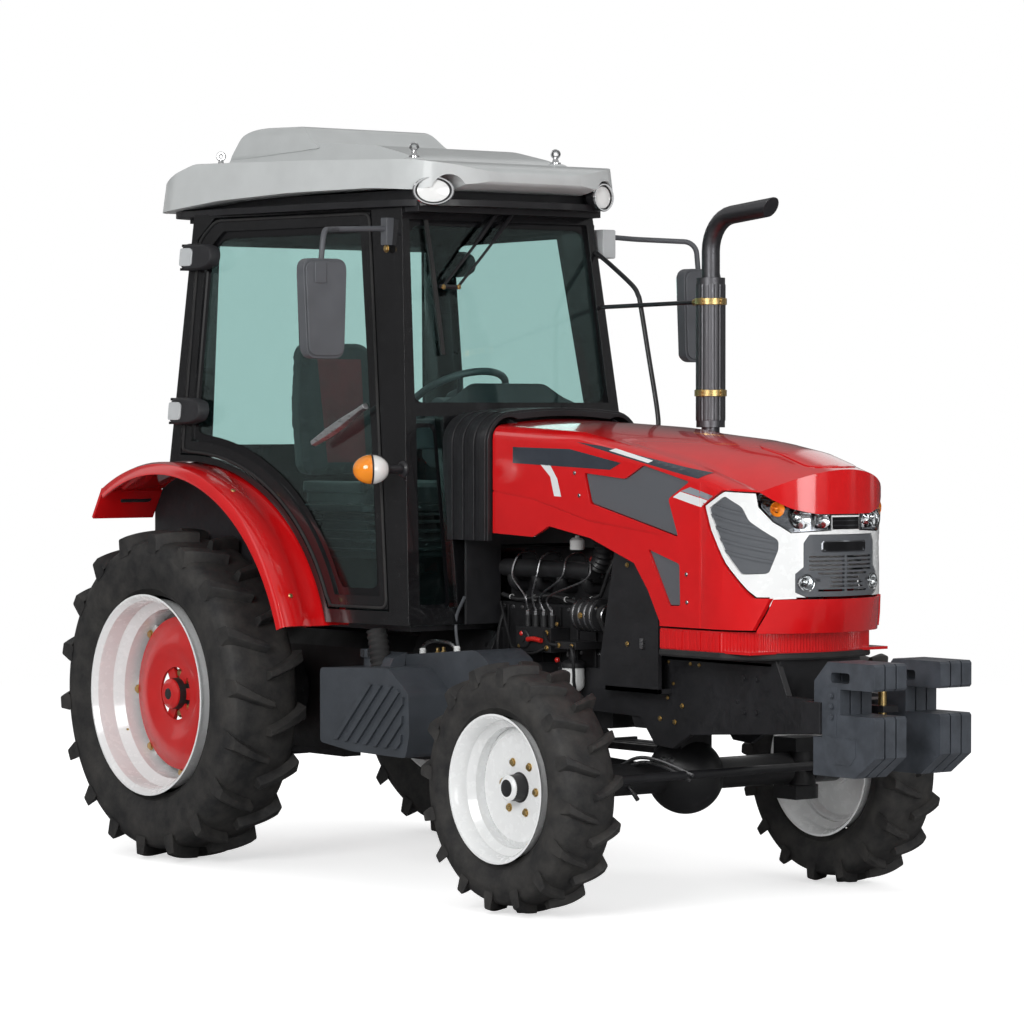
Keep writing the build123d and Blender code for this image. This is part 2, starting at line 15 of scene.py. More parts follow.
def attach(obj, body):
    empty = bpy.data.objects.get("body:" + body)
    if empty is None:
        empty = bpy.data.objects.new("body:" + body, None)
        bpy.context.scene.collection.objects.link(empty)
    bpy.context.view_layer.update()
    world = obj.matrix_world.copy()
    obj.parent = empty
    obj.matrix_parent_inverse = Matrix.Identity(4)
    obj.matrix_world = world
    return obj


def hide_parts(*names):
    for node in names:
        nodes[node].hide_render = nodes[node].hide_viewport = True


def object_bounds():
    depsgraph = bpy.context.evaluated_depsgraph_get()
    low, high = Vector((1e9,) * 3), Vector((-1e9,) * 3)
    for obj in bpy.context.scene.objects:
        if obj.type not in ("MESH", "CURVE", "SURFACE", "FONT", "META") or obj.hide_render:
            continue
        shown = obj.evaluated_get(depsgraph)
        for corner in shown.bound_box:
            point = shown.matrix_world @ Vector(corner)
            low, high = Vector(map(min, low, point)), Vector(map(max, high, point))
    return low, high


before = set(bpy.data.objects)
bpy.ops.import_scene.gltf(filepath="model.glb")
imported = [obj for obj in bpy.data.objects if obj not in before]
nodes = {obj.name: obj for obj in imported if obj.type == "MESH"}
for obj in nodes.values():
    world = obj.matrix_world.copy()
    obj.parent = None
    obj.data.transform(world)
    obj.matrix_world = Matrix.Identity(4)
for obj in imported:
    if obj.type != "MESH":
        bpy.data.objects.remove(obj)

cad_low, cad_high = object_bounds()
print("solids:", len(nodes), "size:", [round(b - a, 3) for a, b in zip(cad_low, cad_high)])

# %% [markdown]
# Tractor drawings measure along the machine from the rear axle, in millimetres. One small helper turns
# such a place into the frame's metres, so that every later number can be read off a drawing.

# %% A place on the drawing becomes a point in the frame
AXLE_BACK = 1.2083  # the rear axle lies this far behind the middle of the machine
WHEELBASE = 2136
AXLES = {"rear": (0, 698, 627), "front": (WHEELBASE, 734, 427)}  # x, half the track, height
AXLE_Z = AXLES["rear"][2]
SIDES = (("left", 1), ("right", -1))  # a side's name and the sign of its y


def at(x, y, z):
    return Vector((x / 1000 - AXLE_BACK, y / 1000, z / 1000))


def new_object(name, data):
    """An object in the scene that shows this mesh, light or camera."""
    obj = bpy.data.objects.new(name, data)
    bpy.context.scene.collection.objects.link(obj)
    return obj


for end, (x, y, z) in AXLES.items():
    print(end, "wheels' axle:", at(x, 0, z)[:])

# %% [markdown]
# ## Camera
# A long lens from far away keeps the machine's proportions calm. The camera stands off the right front
# corner, at the eye height of a person on the ground, and looks at the middle of the machine.

# %% Camera
camera_data = bpy.data.cameras.new("camera")
camera_data.sensor_width = 36
camera_data.lens = 142.5
camera_data.clip_end = 200
camera = new_object("camera", camera_data)
camera.location = at(12891, -9191, 1702)
aim = at(1153.4, 0, 1327.7) - camera.location
camera.rotation_mode = "QUATERNION"
camera.rotation_quaternion = aim.to_track_quat("-Z", "Y")
bpy.context.scene.camera = camera
print("camera to machine:", round(aim.length, 2), "m")

# %% [markdown]
# ## Floor, backdrop and light
# A studio shows a machine best on a white sweep. The floor gives camera rays a little extra glow, so that
# it reads as white and still keeps the soft shadow under the wheels. The world is white to the camera, and
# a calm grey gradient to everything else, which is what the paint and the glass reflect.

# %% Helpers for shader nodes


def shader(name):
    """A new material, and its node tree, emptied."""
    material = bpy.data.materials.new(name)
    material.use_nodes = True
    tree = material.node_tree
    tree.nodes.clear()
    return material, tree


def add(tree, kind, **values):
    """Adds a node; values are sockets by name, or the node's own settings in lower case."""
    node = tree.nodes.new(kind)
    for key, value in values.items():
        label = key.replace("_", " ")
        match = [s for s in node.inputs if s.name.lower() == label.lower()]
        if match and not hasattr(node, key):
            target = match[0]
            if isinstance(value, bpy.types.NodeSocket):
                tree.links.new(value, target)
            else:
                target.default_value = value
        else:
            setattr(node, key, value)
    return node


def ramp(tree, factor, *stops):
    """A colour ramp from (position, colour) pairs; a single number is a grey."""
    node = tree.nodes.new("ShaderNodeValToRGB")
    tree.links.new(factor, node.inputs[0])
    elements = node.color_ramp.elements
    while len(elements) < len(stops):
        elements.new(0.5)
    for element, (place, colour) in zip(elements, stops):
        element.position = place
        element.color = (colour, colour, colour, 1) if isinstance(colour, (int, float)) else (*colour, 1)
    return node.outputs[0]


def maths(tree, kind, a, b=0.0, clamp=False):
    node = tree.nodes.new("ShaderNodeMath")
    node.operation = kind
    node.use_clamp = clamp
    for socket, value in zip(node.inputs, (a, b)):
        if isinstance(value, bpy.types.NodeSocket):
            tree.links.new(value, socket)
        else:
            socket.default_value = value
    return node.outputs[0]


print("node helpers ready")

# %% Mixing shaders and ending a material


def blend(tree, factor, first, second):
    """A mix of two shaders; a factor of 0 shows the first."""
    mix = tree.nodes.new("ShaderNodeMixShader")
    for socket, source in zip(mix.inputs, (factor, first.outputs[0], second.outputs[0])):
        tree.links.new(source, socket)
    return mix


def seen_directly(tree, rays):
    """1 for what the camera sees, itself or through glass."""
    return maths(tree, "MAXIMUM", rays.outputs["Is Camera Ray"], rays.outputs["Is Transmission Ray"])


def finish_shader(tree, surface, height=None, strength=0.2, distance=0.002):
    """Ends a material; height, if given, becomes the bump of every shader that has a normal."""
    out = tree.nodes.new("ShaderNodeOutputMaterial")
    tree.links.new(surface.outputs[0], out.inputs[0])
    if height is not None:
        bump = tree.nodes.new("ShaderNodeBump")
        bump.inputs["Strength"].default_value = strength
        bump.inputs["Distance"].default_value = distance
        tree.links.new(height, bump.inputs["Height"])
        for node in tree.nodes:
            if node.type == "BSDF_PRINCIPLED":
                tree.links.new(bump.outputs[0], node.inputs["Normal"])


print("shader helpers ready")

# %% [markdown]
# The world answers rays by kind: white for what the camera sees, light panels for what paint mirrors, and
# a soft grey sky for everything else. Nobody sees the sky, but it fills the shadows.

# %% World
world = bpy.data.worlds.new("studio")
bpy.context.scene.world = world
world.use_nodes = True
tree = world.node_tree
tree.nodes.clear()
rays = add(tree, "ShaderNodeLightPath")
place = add(tree, "ShaderNodeTexCoord")
split = add(tree, "ShaderNodeSeparateXYZ", Vector=place.outputs["Generated"])
height = maths(tree, "MULTIPLY_ADD", split.outputs["Z"], 0.5)
height.node.inputs[2].default_value = 0.5
sky = ramp(tree, height, (0.0, 0.34), (0.47, 0.40), (0.53, 0.66), (0.72, 0.72), (1.0, 0.55))
soft = add(tree, "ShaderNodeBackground", Color=sky, Strength=0.80)

# What paint and chrome reflect: a dim room with a ring of upright light panels.
around = maths(tree, "ARCTAN2", split.outputs["Y"], split.outputs["X"])
swing = maths(tree, "SINE", maths(tree, "MULTIPLY", around, 9.0))
panels = ramp(tree, swing, (0.62, 0.0), (0.86, 1.0))
window = ramp(tree, height, (0.46, 0.0), (0.54, 1.0), (0.80, 1.0), (0.88, 0.0))
dim = ramp(tree, height, (0.0, 0.03), (0.48, 0.05), (0.56, 0.12), (0.80, 0.26), (1.0, 0.55))
lit_panels = maths(tree, "MULTIPLY", maths(tree, "MULTIPLY", panels, window), 0.75)
room = add(tree, "ShaderNodeBackground", Color=maths(tree, "ADD", dim, lit_panels), Strength=1.0)
gloss = blend(tree, rays.outputs["Is Glossy Ray"], soft, room)
white = add(tree, "ShaderNodeBackground", Strength=1.0)
white.inputs["Color"].default_value = (1, 1, 1, 1)
mix = blend(tree, seen_directly(tree, rays), gloss, white)
add(tree, "ShaderNodeOutputWorld", Surface=mix.outputs[0])
bpy.context.scene.view_settings.view_transform = "Standard"
print("world ready")

# %% [markdown]
# The floor plays the same trick. It is white to the camera, plain to the light, and dull in reflections.

# %% Floor
floor_material, tree = shader("studio_floor")
rays = add(tree, "ShaderNodeLightPath")
lit = add(tree, "ShaderNodeBsdfDiffuse")
lit.inputs["Color"].default_value = (0.9, 0.9, 0.9, 1)
glow = add(tree, "ShaderNodeEmission", Strength=0.60)
glowing = add(tree, "ShaderNodeAddShader")
tree.links.new(lit.outputs[0], glowing.inputs[0])
tree.links.new(glow.outputs[0], glowing.inputs[1])
# Far from the machine the floor fades to the white of the backdrop.
place = add(tree, "ShaderNodeTexCoord")
reach = add(tree, "ShaderNodeVectorMath", operation="LENGTH")
tree.links.new(place.outputs["Object"], reach.inputs[0])
fade = maths(tree, "SUBTRACT", maths(tree, "MULTIPLY", reach.outputs["Value"], 0.16), 0.72, True)
backdrop = add(tree, "ShaderNodeEmission", Strength=1.0)
mix = blend(tree, seen_directly(tree, rays), lit, blend(tree, fade, glowing, backdrop))
# Paint and chrome reflect a dull floor, so that their undersides stay dark.
dull = add(tree, "ShaderNodeBsdfDiffuse")
dull.inputs["Color"].default_value = (0.16, 0.16, 0.165, 1)
finish_shader(tree, blend(tree, rays.outputs["Is Glossy Ray"], mix, dull))

mesh = bpy.data.meshes.new("floor")
far = 60
mesh.from_pydata([(-far, -far, 0), (far, -far, 0), (far, far, 0), (-far, far, 0)], [], [(0, 1, 2, 3)])
floor = new_object("floor", mesh)
floor.data.materials.append(floor_material)
floor.location.z = cad_low.z
print("floor:", 2 * far, "m square")

# %% [markdown]
# Four disc lamps: the key from the right, one in front, and two weak ones above and behind for the edges.

# %% Studio lamps
LAMPS = [  # name, place, size, power, aimed at
    ("key", (4.5, -8.5, 4.6), 4.5, 420, (0, 0, 1.2)),
    ("front", (9.5, -1.5, 2.6), 4.0, 170, (0, 0, 1.3)),
    ("top", (0.5, 0.5, 8.0), 6.0, 35, (0, 0, 1.0)),
    ("back", (-6.0, 6.5, 5.0), 5.0, 110, (0, 0, 1.2)),
]
for name, place, size, power, target in LAMPS:
    light = bpy.data.lights.new(name, "AREA")
    light.shape = "DISK"
    light.size = size
    light.energy = power
    lamp = new_object(name, light)
    lamp.location = place
    lamp.visible_glossy = name in ("key", "front")
    lamp.rotation_mode = "QUATERNION"
    lamp.rotation_quaternion = (Vector(target) - Vector(place)).to_track_quat("-Z", "Y")
print("lamps:", len(LAMPS))

# %% [markdown]
# ## Finishes
# Every finish is a small procedural material. Paint is never one flat colour: it gets a faint
# unevenness and a clear coat, and castings and tyres get patches of dust. All patterns use object coordinates, so they
# stay put when a wheel turns or a door opens.

# %% Painted and moulded finishes


def surface_noise(tree, scale, detail=4.0, roughness=0.55):
    place = add(tree, "ShaderNodeTexCoord")
    return add(tree, "ShaderNodeTexNoise", Vector=place.outputs["Object"], Scale=scale, Detail=detail,
               Roughness=roughness).outputs[0]


def painted(name, colour, gloss=0.25, coat=0.6, vary=0.12, bump=0.03, scale=9.0, metal=0.0, grain=900.0):
    """Sprayed paint or a moulded skin: colour that drifts a little, uneven gloss and a fine grain."""
    material, tree = shader(name)
    drift = surface_noise(tree, scale)
    dark = tuple(c * (1 - vary) for c in colour)
    light = tuple(min(1, c * (1 + vary)) for c in colour)
    tint = ramp(tree, drift, (0.3, dark), (0.7, light))
    smear = surface_noise(tree, scale * 4, 6)
    rough = ramp(tree, smear, (0.25, gloss * 0.75), (0.75, min(1, gloss * 1.3)))
    skin = add(tree, "ShaderNodeBsdfPrincipled", Base_Color=tint, Roughness=rough, Metallic=metal,
               Coat_Weight=coat, Coat_Roughness=0.06)
    finish_shader(tree, skin, surface_noise(tree, grain, 2), bump, 0.001)
    return material


def cast(name, colour, gloss=0.5, worn=(0.2, 0.2, 0.2), dust=0.25):
    """Painted cast iron: rough sand-cast skin, oily patches and paint rubbed thin in places."""
    material, tree = shader(name)
    patches = surface_noise(tree, 14, 8, 0.65)
    tint = ramp(tree, patches, (0.36, colour), (0.62, tuple(c * 1.5 for c in colour)), (0.78, worn))
    dusty = surface_noise(tree, 5, 3)
    rough = ramp(tree, dusty, (0.3, gloss * 0.7), (0.7, min(1, gloss + dust)))
    skin = add(tree, "ShaderNodeBsdfPrincipled", Base_Color=tint, Roughness=rough, Coat_Weight=0.15,
               Coat_Roughness=0.3)
    sand = surface_noise(tree, 420, 5, 0.7)
    finish_shader(tree, skin, sand, 0.35, 0.002)
    return material


def metal(name, colour, rough=0.25, streak=60.0, bump=0.08):
    """Plated or bare metal with fine working marks."""
    material, tree = shader(name)
    place = add(tree, "ShaderNodeTexCoord")
    stretch = add(tree, "ShaderNodeMapping", Vector=place.outputs["Object"])
    stretch.inputs["Scale"].default_value = (streak, streak, streak * 6)
    marks = add(tree, "ShaderNodeTexNoise", Vector=stretch.outputs[0], Scale=1.0, Detail=6.0).outputs[0]
    tint = ramp(tree, marks, (0.2, tuple(c * 0.8 for c in colour)), (0.8, colour))
    gloss = ramp(tree, marks, (0.3, rough * 0.7), (0.8, min(1, rough * 1.5)))
    skin = add(tree, "ShaderNodeBsdfPrincipled", Base_Color=tint, Roughness=gloss, Metallic=1.0)
    finish_shader(tree, skin, marks, bump, 0.0005)
    return material


print("recipes for paint, castings and metal ready")

# %% The paints, castings and metals
RED = (0.62, 0.006, 0.008)
red_gloss = painted("red_gloss", RED, gloss=0.16, coat=1.0, vary=0.05, bump=0.02)
red_disc = painted("red_disc", (0.58, 0.012, 0.012), gloss=0.35, coat=0.5, vary=0.08, bump=0.1)
white_gloss = painted("white_gloss", (0.82, 0.83, 0.83), gloss=0.25, coat=0.7, vary=0.03)
roof_grey = painted("roof_grey", (0.53, 0.55, 0.55), gloss=0.38, coat=0.25, vary=0.04, bump=0.12, grain=700)
black_gloss = painted("black_gloss", (0.008, 0.008, 0.009), gloss=0.22, coat=0.8, vary=0.2)
black_satin = painted("black_satin", (0.014, 0.014, 0.016), gloss=0.45, coat=0.2, vary=0.25, bump=0.15)
moulded = painted("moulded_black", (0.022, 0.022, 0.025), gloss=0.55, coat=0.05, vary=0.2, bump=0.35, grain=600)
grey_plastic = painted("grey_plastic", (0.09, 0.095, 0.105), gloss=0.5, coat=0.1, vary=0.12, bump=0.3, grain=600)
slate = painted("slate_plastic", (0.045, 0.052, 0.062), gloss=0.5, coat=0.08, vary=0.15, bump=0.3, grain=500)
cast_black = cast("cast_black", (0.010, 0.010, 0.011), 0.42, (0.05, 0.05, 0.055))
cast_slate = cast("cast_slate", (0.040, 0.046, 0.056), 0.5, (0.075, 0.082, 0.095))
chrome = metal("chrome", (0.86, 0.87, 0.88), 0.08, 40, 0.02)
steel = metal("bright_steel", (0.45, 0.45, 0.46), 0.3)
gold = metal("zinc_gold", (0.78, 0.56, 0.24), 0.32, 90, 0.05)
pipe_metal = metal("heat_grey", (0.16, 0.16, 0.17), 0.42, 60, 0.1)
print("finishes so far:", len(bpy.data.materials))

# %% [markdown]
# Glass must let light pass. A shadow ray sees it as merely transparent, so the cab behind it stays lit.

# %% Glass, rubber and mesh


def glass(name, colour, rough=0.0):
    """Clear glass that lets light through to what is behind, so that the cab isn't dark inside."""
    material, tree = shader(name)
    rays = add(tree, "ShaderNodeLightPath")
    pane = add(tree, "ShaderNodeBsdfPrincipled", Roughness=rough, IOR=1.35)
    pane.inputs["Base Color"].default_value = (*colour, 1)
    pane.inputs["Transmission Weight"].default_value = 1.0
    ripple = surface_noise(tree, 3, 1)
    bump = add(tree, "ShaderNodeBump", Height=ripple, Strength=0.02, Distance=0.001)
    tree.links.new(bump.outputs[0], pane.inputs["Normal"])
    clear = add(tree, "ShaderNodeBsdfTransparent")
    clear.inputs["Color"].default_value = (*colour, 1)
    finish_shader(tree, blend(tree, rays.outputs["Is Shadow Ray"], pane, clear))
    return material


def rubber(name, colour=(0.018, 0.018, 0.019), dusty=(0.055, 0.052, 0.048)):
    """Tyre rubber: nearly black, with dry greyish dust on the side walls and in the tread."""
    material, tree = shader(name)
    dirt = surface_noise(tree, 11, 8, 0.7)
    tint = ramp(tree, dirt, (0.35, colour), (0.75, dusty))
    skin = add(tree, "ShaderNodeBsdfPrincipled", Base_Color=tint, Roughness=0.62)
    skin.inputs["Specular IOR Level"].default_value = 0.35
    finish_shader(tree, skin, surface_noise(tree, 260, 6, 0.7), 0.25, 0.002)
    return material


def woven_wire(name, colour, hole, pitch=0.004):
    """Fine punched sheet: two crossed waves make rows of small dark holes."""
    material, tree = shader(name)
    place = add(tree, "ShaderNodeTexCoord")
    split = add(tree, "ShaderNodeSeparateXYZ", Vector=place.outputs["Object"])
    across = maths(tree, "ADD", split.outputs["X"], split.outputs["Y"])
    turns = tau / pitch
    rows = maths(tree, "SINE", maths(tree, "MULTIPLY", split.outputs["Z"], turns))
    columns = maths(tree, "SINE", maths(tree, "MULTIPLY", across, turns))
    pattern = maths(tree, "MULTIPLY_ADD", maths(tree, "MULTIPLY", rows, columns), 0.5)
    pattern.node.inputs[2].default_value = 0.5
    tint = ramp(tree, pattern, (0.2, hole), (0.6, colour))
    skin = add(tree, "ShaderNodeBsdfPrincipled", Base_Color=tint, Roughness=0.5, Coat_Weight=0.1)
    finish_shader(tree, skin, pattern, 0.6, 0.001)
    return material


print("recipes for glass, rubber and mesh ready")

# %% The clear, rubbery and meshed finishes
tyre_rubber = rubber("tyre_rubber")
seal_rubber = rubber("seal_rubber", (0.02, 0.02, 0.021), (0.035, 0.034, 0.033))
cab_glass = glass("cab_glass", (0.57, 0.73, 0.71))
lens_glass = glass("lens_glass", (0.97, 0.98, 0.98))
mesh_grey = woven_wire("mesh_grey", (0.13, 0.14, 0.155), (0.035, 0.038, 0.045))
print("finishes:", len(bpy.data.materials))

# %% [markdown]
# ## Softer edges on the solids
# Real sheet metal and castings have rounded edges that catch the light. The solids' meshes must stay as they
# are, so the work is done by modifiers: one node group merges the seams of the mesh and shades curved walls
# smoothly, then a narrow bevel rounds whatever is still sharp.

# %% A node group that shades by angle
soften = bpy.data.node_groups.new("shade_by_angle", "GeometryNodeTree")
soften.interface.new_socket("Geometry", in_out="INPUT", socket_type="NodeSocketGeometry")
soften.interface.new_socket("Geometry", in_out="OUTPUT", socket_type="NodeSocketGeometry")
enter, leave = soften.nodes.new("NodeGroupInput"), soften.nodes.new("NodeGroupOutput")
merge = soften.nodes.new("GeometryNodeMergeByDistance")
merge.inputs["Distance"].default_value = 0.00002
angle = soften.nodes.new("GeometryNodeInputMeshEdgeAngle")
sharp = soften.nodes.new("FunctionNodeCompare")
sharp.operation = "GREATER_THAN"
sharp.inputs[1].default_value = radians(32)
faces = soften.nodes.new("GeometryNodeSetShadeSmooth")
edges = soften.nodes.new("GeometryNodeSetShadeSmooth")
edges.domain = "EDGE"
edges.inputs["Shade Smooth"].default_value = False
for a, b in ((enter.outputs[0], merge.inputs[0]), (merge.outputs[0], faces.inputs[0]),
             (faces.outputs[0], edges.inputs[0]), (angle.outputs[0], sharp.inputs[0]),
             (sharp.outputs[0], edges.inputs["Selection"]), (edges.outputs[0], leave.inputs[0])):
    soften.links.new(a, b)


def soften_solid(obj, width):
    shade = obj.modifiers.new("shade", "NODES")
    shade.node_group = soften
    if width:
        bevel = obj.modifiers.new("edge", "BEVEL")
        bevel.width = width
        bevel.segments = 2
        bevel.limit_method = "ANGLE"
        bevel.angle_limit = radians(40)
        bevel.harden_normals = True


print("shading group ready")

# %% A finish and an edge for each solid
FINISH = [  # words in the node's name, material, edge radius in metres
    ("tyre", tyre_rubber, 0.0), ("rim", white_gloss, 0.0015), ("disc", red_disc, 0.0015),
    ("nose_surround", white_gloss, 0.001), ("bonnet", red_gloss, 0.0012), ("side_panels", red_gloss, 0.0012),
    ("fender", red_gloss, 0.001), ("roof", roof_grey, 0.003), ("door_glass", cab_glass, 0.0),
    ("cab_glass", cab_glass, 0.0), ("door", black_gloss, 0.002), ("cab_frame", black_gloss, 0.002),
    ("cab_floor", moulded, 0.002), ("seat", moulded, 0.004), ("dashboard", grey_plastic, 0.004),
    ("steering_wheel", grey_plastic, 0.002), ("cowl", black_satin, 0.002), ("nose_grille", mesh_grey, 0.0006),
    ("headlamps", lens_glass, 0.0005), ("lamps", chrome, 0.001), ("mirrors", grey_plastic, 0.003),
    ("exhaust", pipe_metal, 0.001), ("engine", cast_black, 0.0015), ("transmission", cast_black, 0.002),
    ("radiator", black_satin, 0.0015), ("front_support", black_satin, 0.0015), ("front_axle", cast_black, 0.002),
    ("knuckle", cast_black, 0.002), ("tie_rod", black_satin, 0.001), ("front_weights", cast_slate, 0.003),
    ("drawbar", black_satin, 0.0015), ("fuel_tank", slate, 0.004), ("left_step", black_satin, 0.0015),
    ("lift_arms", cast_black, 0.0015), ("lower_link", cast_black, 0.0015), ("lift_rod", cast_black, 0.001),
]
for name, obj in nodes.items():
    finish, edge = next((m, e) for word, m, e in FINISH if word in name)
    for slot in obj.material_slots:
        slot.material = finish
    if not obj.material_slots:
        obj.data.materials.append(finish)
    soften_solid(obj, edge)
print("solids finished:", len(nodes))

# %% [markdown]
# ## Building pieces from code
# Each piece below is a mesh made point by point. A handful of small helpers does the repeated work: turning
# a profile on a lathe, pressing a plate out of an outline, drawing a tube, and setting bolts in rows.

# %% Turning lists of points into pieces
HEX = 6


def piece(name, verts, faces, body, finish, slot=None, smooth=True, edge=0.0):
    """One mesh object that rides on a body, with its finish, soft shading and, if asked, bevelled edges."""
    mesh = bpy.data.meshes.new(name)
    mesh.from_pydata([tuple(v) for v in verts], [], faces)
    mesh.validate()
    build = bmesh.new()
    build.from_mesh(mesh)
    bmesh.ops.recalc_face_normals(build, faces=build.faces)
    build.to_mesh(mesh)
    build.free()
    obj = new_object(name, mesh)
    mesh.materials.append(finish)
    if smooth:
        soften_solid(obj, edge)
    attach(obj, body)
    print("made", name, "with", len(mesh.polygons), "faces")
    return obj


def net_faces(rows, columns, wrap=True, loop=False, caps=False):
    """Faces of a net of points that are listed row by row. Wrap closes each row to a ring, loop joins the last
    row to the first, and caps closes the first and the last ring."""
    faces = []
    for i in range(rows if loop else rows - 1):
        j = (i + 1) % rows
        for k in range(columns if wrap else columns - 1):
            m = (k + 1) % columns
            faces.append((i * columns + k, i * columns + m, j * columns + m, j * columns + k))
    if caps:
        last = (rows - 1) * columns
        faces += [tuple(range(columns)), tuple(range(last + columns - 1, last - 1, -1))]
    return faces


print("pieces can be made")

# %% Turning and pressing


def lathe(profile, steps, closed=False):
    """Points and faces of a profile of (radius, along) carried round the Y axis; along grows with y."""
    verts = []
    for i in range(steps):
        a = tau * i / steps
        verts += [Vector((r * sin(a), y, -r * cos(a))) for r, y in profile]
    return verts, net_faces(steps, len(profile), closed, True)


def join(*parts):
    """Several (points, faces) pairs as one."""
    verts, faces = [], []
    for more, these in parts:
        base = len(verts)
        verts += list(more)
        faces += [tuple(base + i for i in face) for face in these]
    return verts, faces


def moved(part, matrix):
    return [matrix @ Vector(v) for v in part[0]], part[1]


def on_chassis(name, parts, finish, slot=None, **look):
    """One piece made of several parts, fixed to the chassis."""
    return piece(name, *join(*parts), "chassis", finish, slot, **look)


def along(direction):
    """A turn that takes +Y to a direction."""
    return Vector(direction).to_track_quat("Y", "Z").to_matrix().to_4x4()


def turned(profile, place, direction=(0, 1, 0), steps=24, closed=False):
    """A lathe piece standing at a place on the drawing, its axis along a direction; profile in millimetres."""
    part = lathe([(r / 1000, y / 1000) for r, y in profile], steps, closed)
    return moved(part, Matrix.Translation(at(*place)) @ along(direction))


def plate(outline, low, high, place):
    """Points and faces of an outline pressed from low to high; place turns (u, v, depth) into a point."""
    n = len(outline)
    verts = [place(u, v, low) for u, v in outline] + [place(u, v, high) for u, v in outline]
    faces = [tuple(range(n)), tuple(range(2 * n - 1, n - 1, -1))]
    return verts, faces + net_faces(2, n)


def rectangle(u0, u1, v0, v1):
    return [(u0, v0), (u1, v0), (u1, v1), (u0, v1)]


def rounded(outline, radius, steps=4):
    """An outline with its corners rounded off."""
    points, n = [], len(outline)
    for i in range(n):
        here = Vector(outline[i])
        back, ahead = Vector(outline[i - 1]) - here, Vector(outline[(i + 1) % n]) - here
        reach = min(radius, back.length * 0.45, ahead.length * 0.45)
        a, b = here + back.normalized() * reach, here + ahead.normalized() * reach
        for k in range(steps + 1):
            t = k / steps
            points.append(tuple((1 - t) ** 2 * a + 2 * t * (1 - t) * here + t * t * b))
    return points


print("turning and pressing ready")

# %% [markdown]
# A hose is a ring of points carried along a curve. Each ring starts from the last one, turned only as far
# as the curve turns, so the hose never twists.

# %% Soft lines, pipes and bolts


def smooth_line(points, every=10):
    """A soft curve through the points, as more points."""
    pts = [Vector(p) for p in points]
    padded_pts = [2 * pts[0] - pts[1]] + pts + [2 * pts[-1] - pts[-2]]
    line = []
    for a, b, c, d in zip(padded_pts, padded_pts[1:], padded_pts[2:], padded_pts[3:]):
        for k in range(every):
            t = k / every
            line.append(0.5 * (2 * b + (c - a) * t + (2 * a - 5 * b + 4 * c - d) * t * t
                               + (3 * b - a - 3 * c + d) * t ** 3))
    return line + [pts[-1]]


def rings_along(line, radii, sides):
    """Rings of points round a line, with as little twist as can be; the radii are used in turn."""
    rings, normal = [], None
    for i, p in enumerate(line):
        ahead = (line[min(i + 1, len(line) - 1)] - line[max(i - 1, 0)]).normalized()
        normal = ahead.orthogonal().normalized() if normal is None else normal
        normal = (normal - ahead * normal.dot(ahead)).normalized()
        other = ahead.cross(normal)
        r = radii[i % len(radii)]
        rings.append([p + r * (cos(tau * k / sides) * normal + sin(tau * k / sides) * other)
                      for k in range(sides)])
    return rings


def paced(line, step):
    """Points at equal steps along a line."""
    points, left = [line[0]], step
    for a, b in zip(line, line[1:]):
        span = (b - a).length
        while left <= span:
            points.append(a + (b - a) * left / span)
            left += step
        left -= span
    return points


def pipe(points, radius, sides=10, every=8):
    """A tube of one radius along a soft curve through places on the drawing, in millimetres."""
    line = [at(*p) for p in smooth_line(points, every)] if every else [at(*p) for p in points]
    rings = rings_along(line, [radius / 1000], sides)
    return [v for ring in rings for v in ring], net_faces(len(rings), sides, caps=True)


def bolt(place, direction, size=8.0, washer=True):
    """A hexagon head on its washer, standing on a surface."""
    r = size * 0.9
    head = lathe([(0, 0), (r, 0), (r, size * 0.55), (r * 0.9, size * 0.66), (0, size * 0.66)], HEX)
    parts = [head]
    if washer:
        parts.append(lathe([(0, 0), (r * 1.28, 0), (r * 1.28, size * 0.16), (0, size * 0.16)], 16))
    shape = join(*parts)
    scaled = [v / 1000 for v in shape[0]], shape[1]
    return moved(scaled, Matrix.Translation(at(*place)) @ along(direction))


def side_bolts(places, y, size):
    """Bolts on both sides of the machine at places x, z."""
    return [bolt((x, sign * y, z), (0, sign, 0), size) for _, sign in SIDES for x, z in places]


print("lines, pipes and bolts ready")

# %% [markdown]
# ## Tyres
# Farm tyres grip with tall slanted bars, called lugs. They meet like an arrowhead at the middle of the tread
# and grow wider toward the shoulder, where each one bends down onto the side wall. The carcass is turned
# from one profile. Each lug is a short row of cross sections laid along a curved line on it.

# %% Tyre shapes
TYRES = {  # outer radius, width, bead radius, number of lugs in a row, lug height, lug width
    "rear": (627, 316, 375, 18, 36, 42),
    "front": (427, 232, 247, 16, 27, 31),
}


def tyre_profile(bead, crown, half):
    """Radius and y from the inner bead, over the side walls and the tread, to the outer bead."""
    wall = [(bead, 0.66), (bead + 9, 0.74), (bead + 20, 0.80), (bead + 26, 0.86), (bead + 34, 0.87),
            (bead + 55, 0.955), ((bead + crown) / 2, 1.0), (crown - 66, 0.985), (crown - 46, 0.96),
            (crown - 40, 0.93), (crown - 26, 0.90), (crown - 13, 0.80), (crown - 5, 0.60), (crown - 1, 0.30)]
    right = [(r, -share * half) for r, share in wall]
    return right + [(crown, 0.0)] + [(r, -y) for r, y in reversed(right)]


print("carcass profile ready")

# %% Lugs


def lug_stations(half, crown, tall, wide):
    """Along a lug: y, drift round the tyre, half width at the top, radius at the top, radius of its root."""
    rows = []
    for k in range(10):
        s = k / 9
        y = -6 + (half * 0.985 + 6) * s
        drift = wide * (1.15 * s + 0.55 * s * s - 0.18)
        top = crown + tall - 16 * s ** 3
        rows.append((y, drift, wide * (0.30 + 0.26 * s ** 1.5), top, crown - 6 - 34 * s ** 3))
    return rows


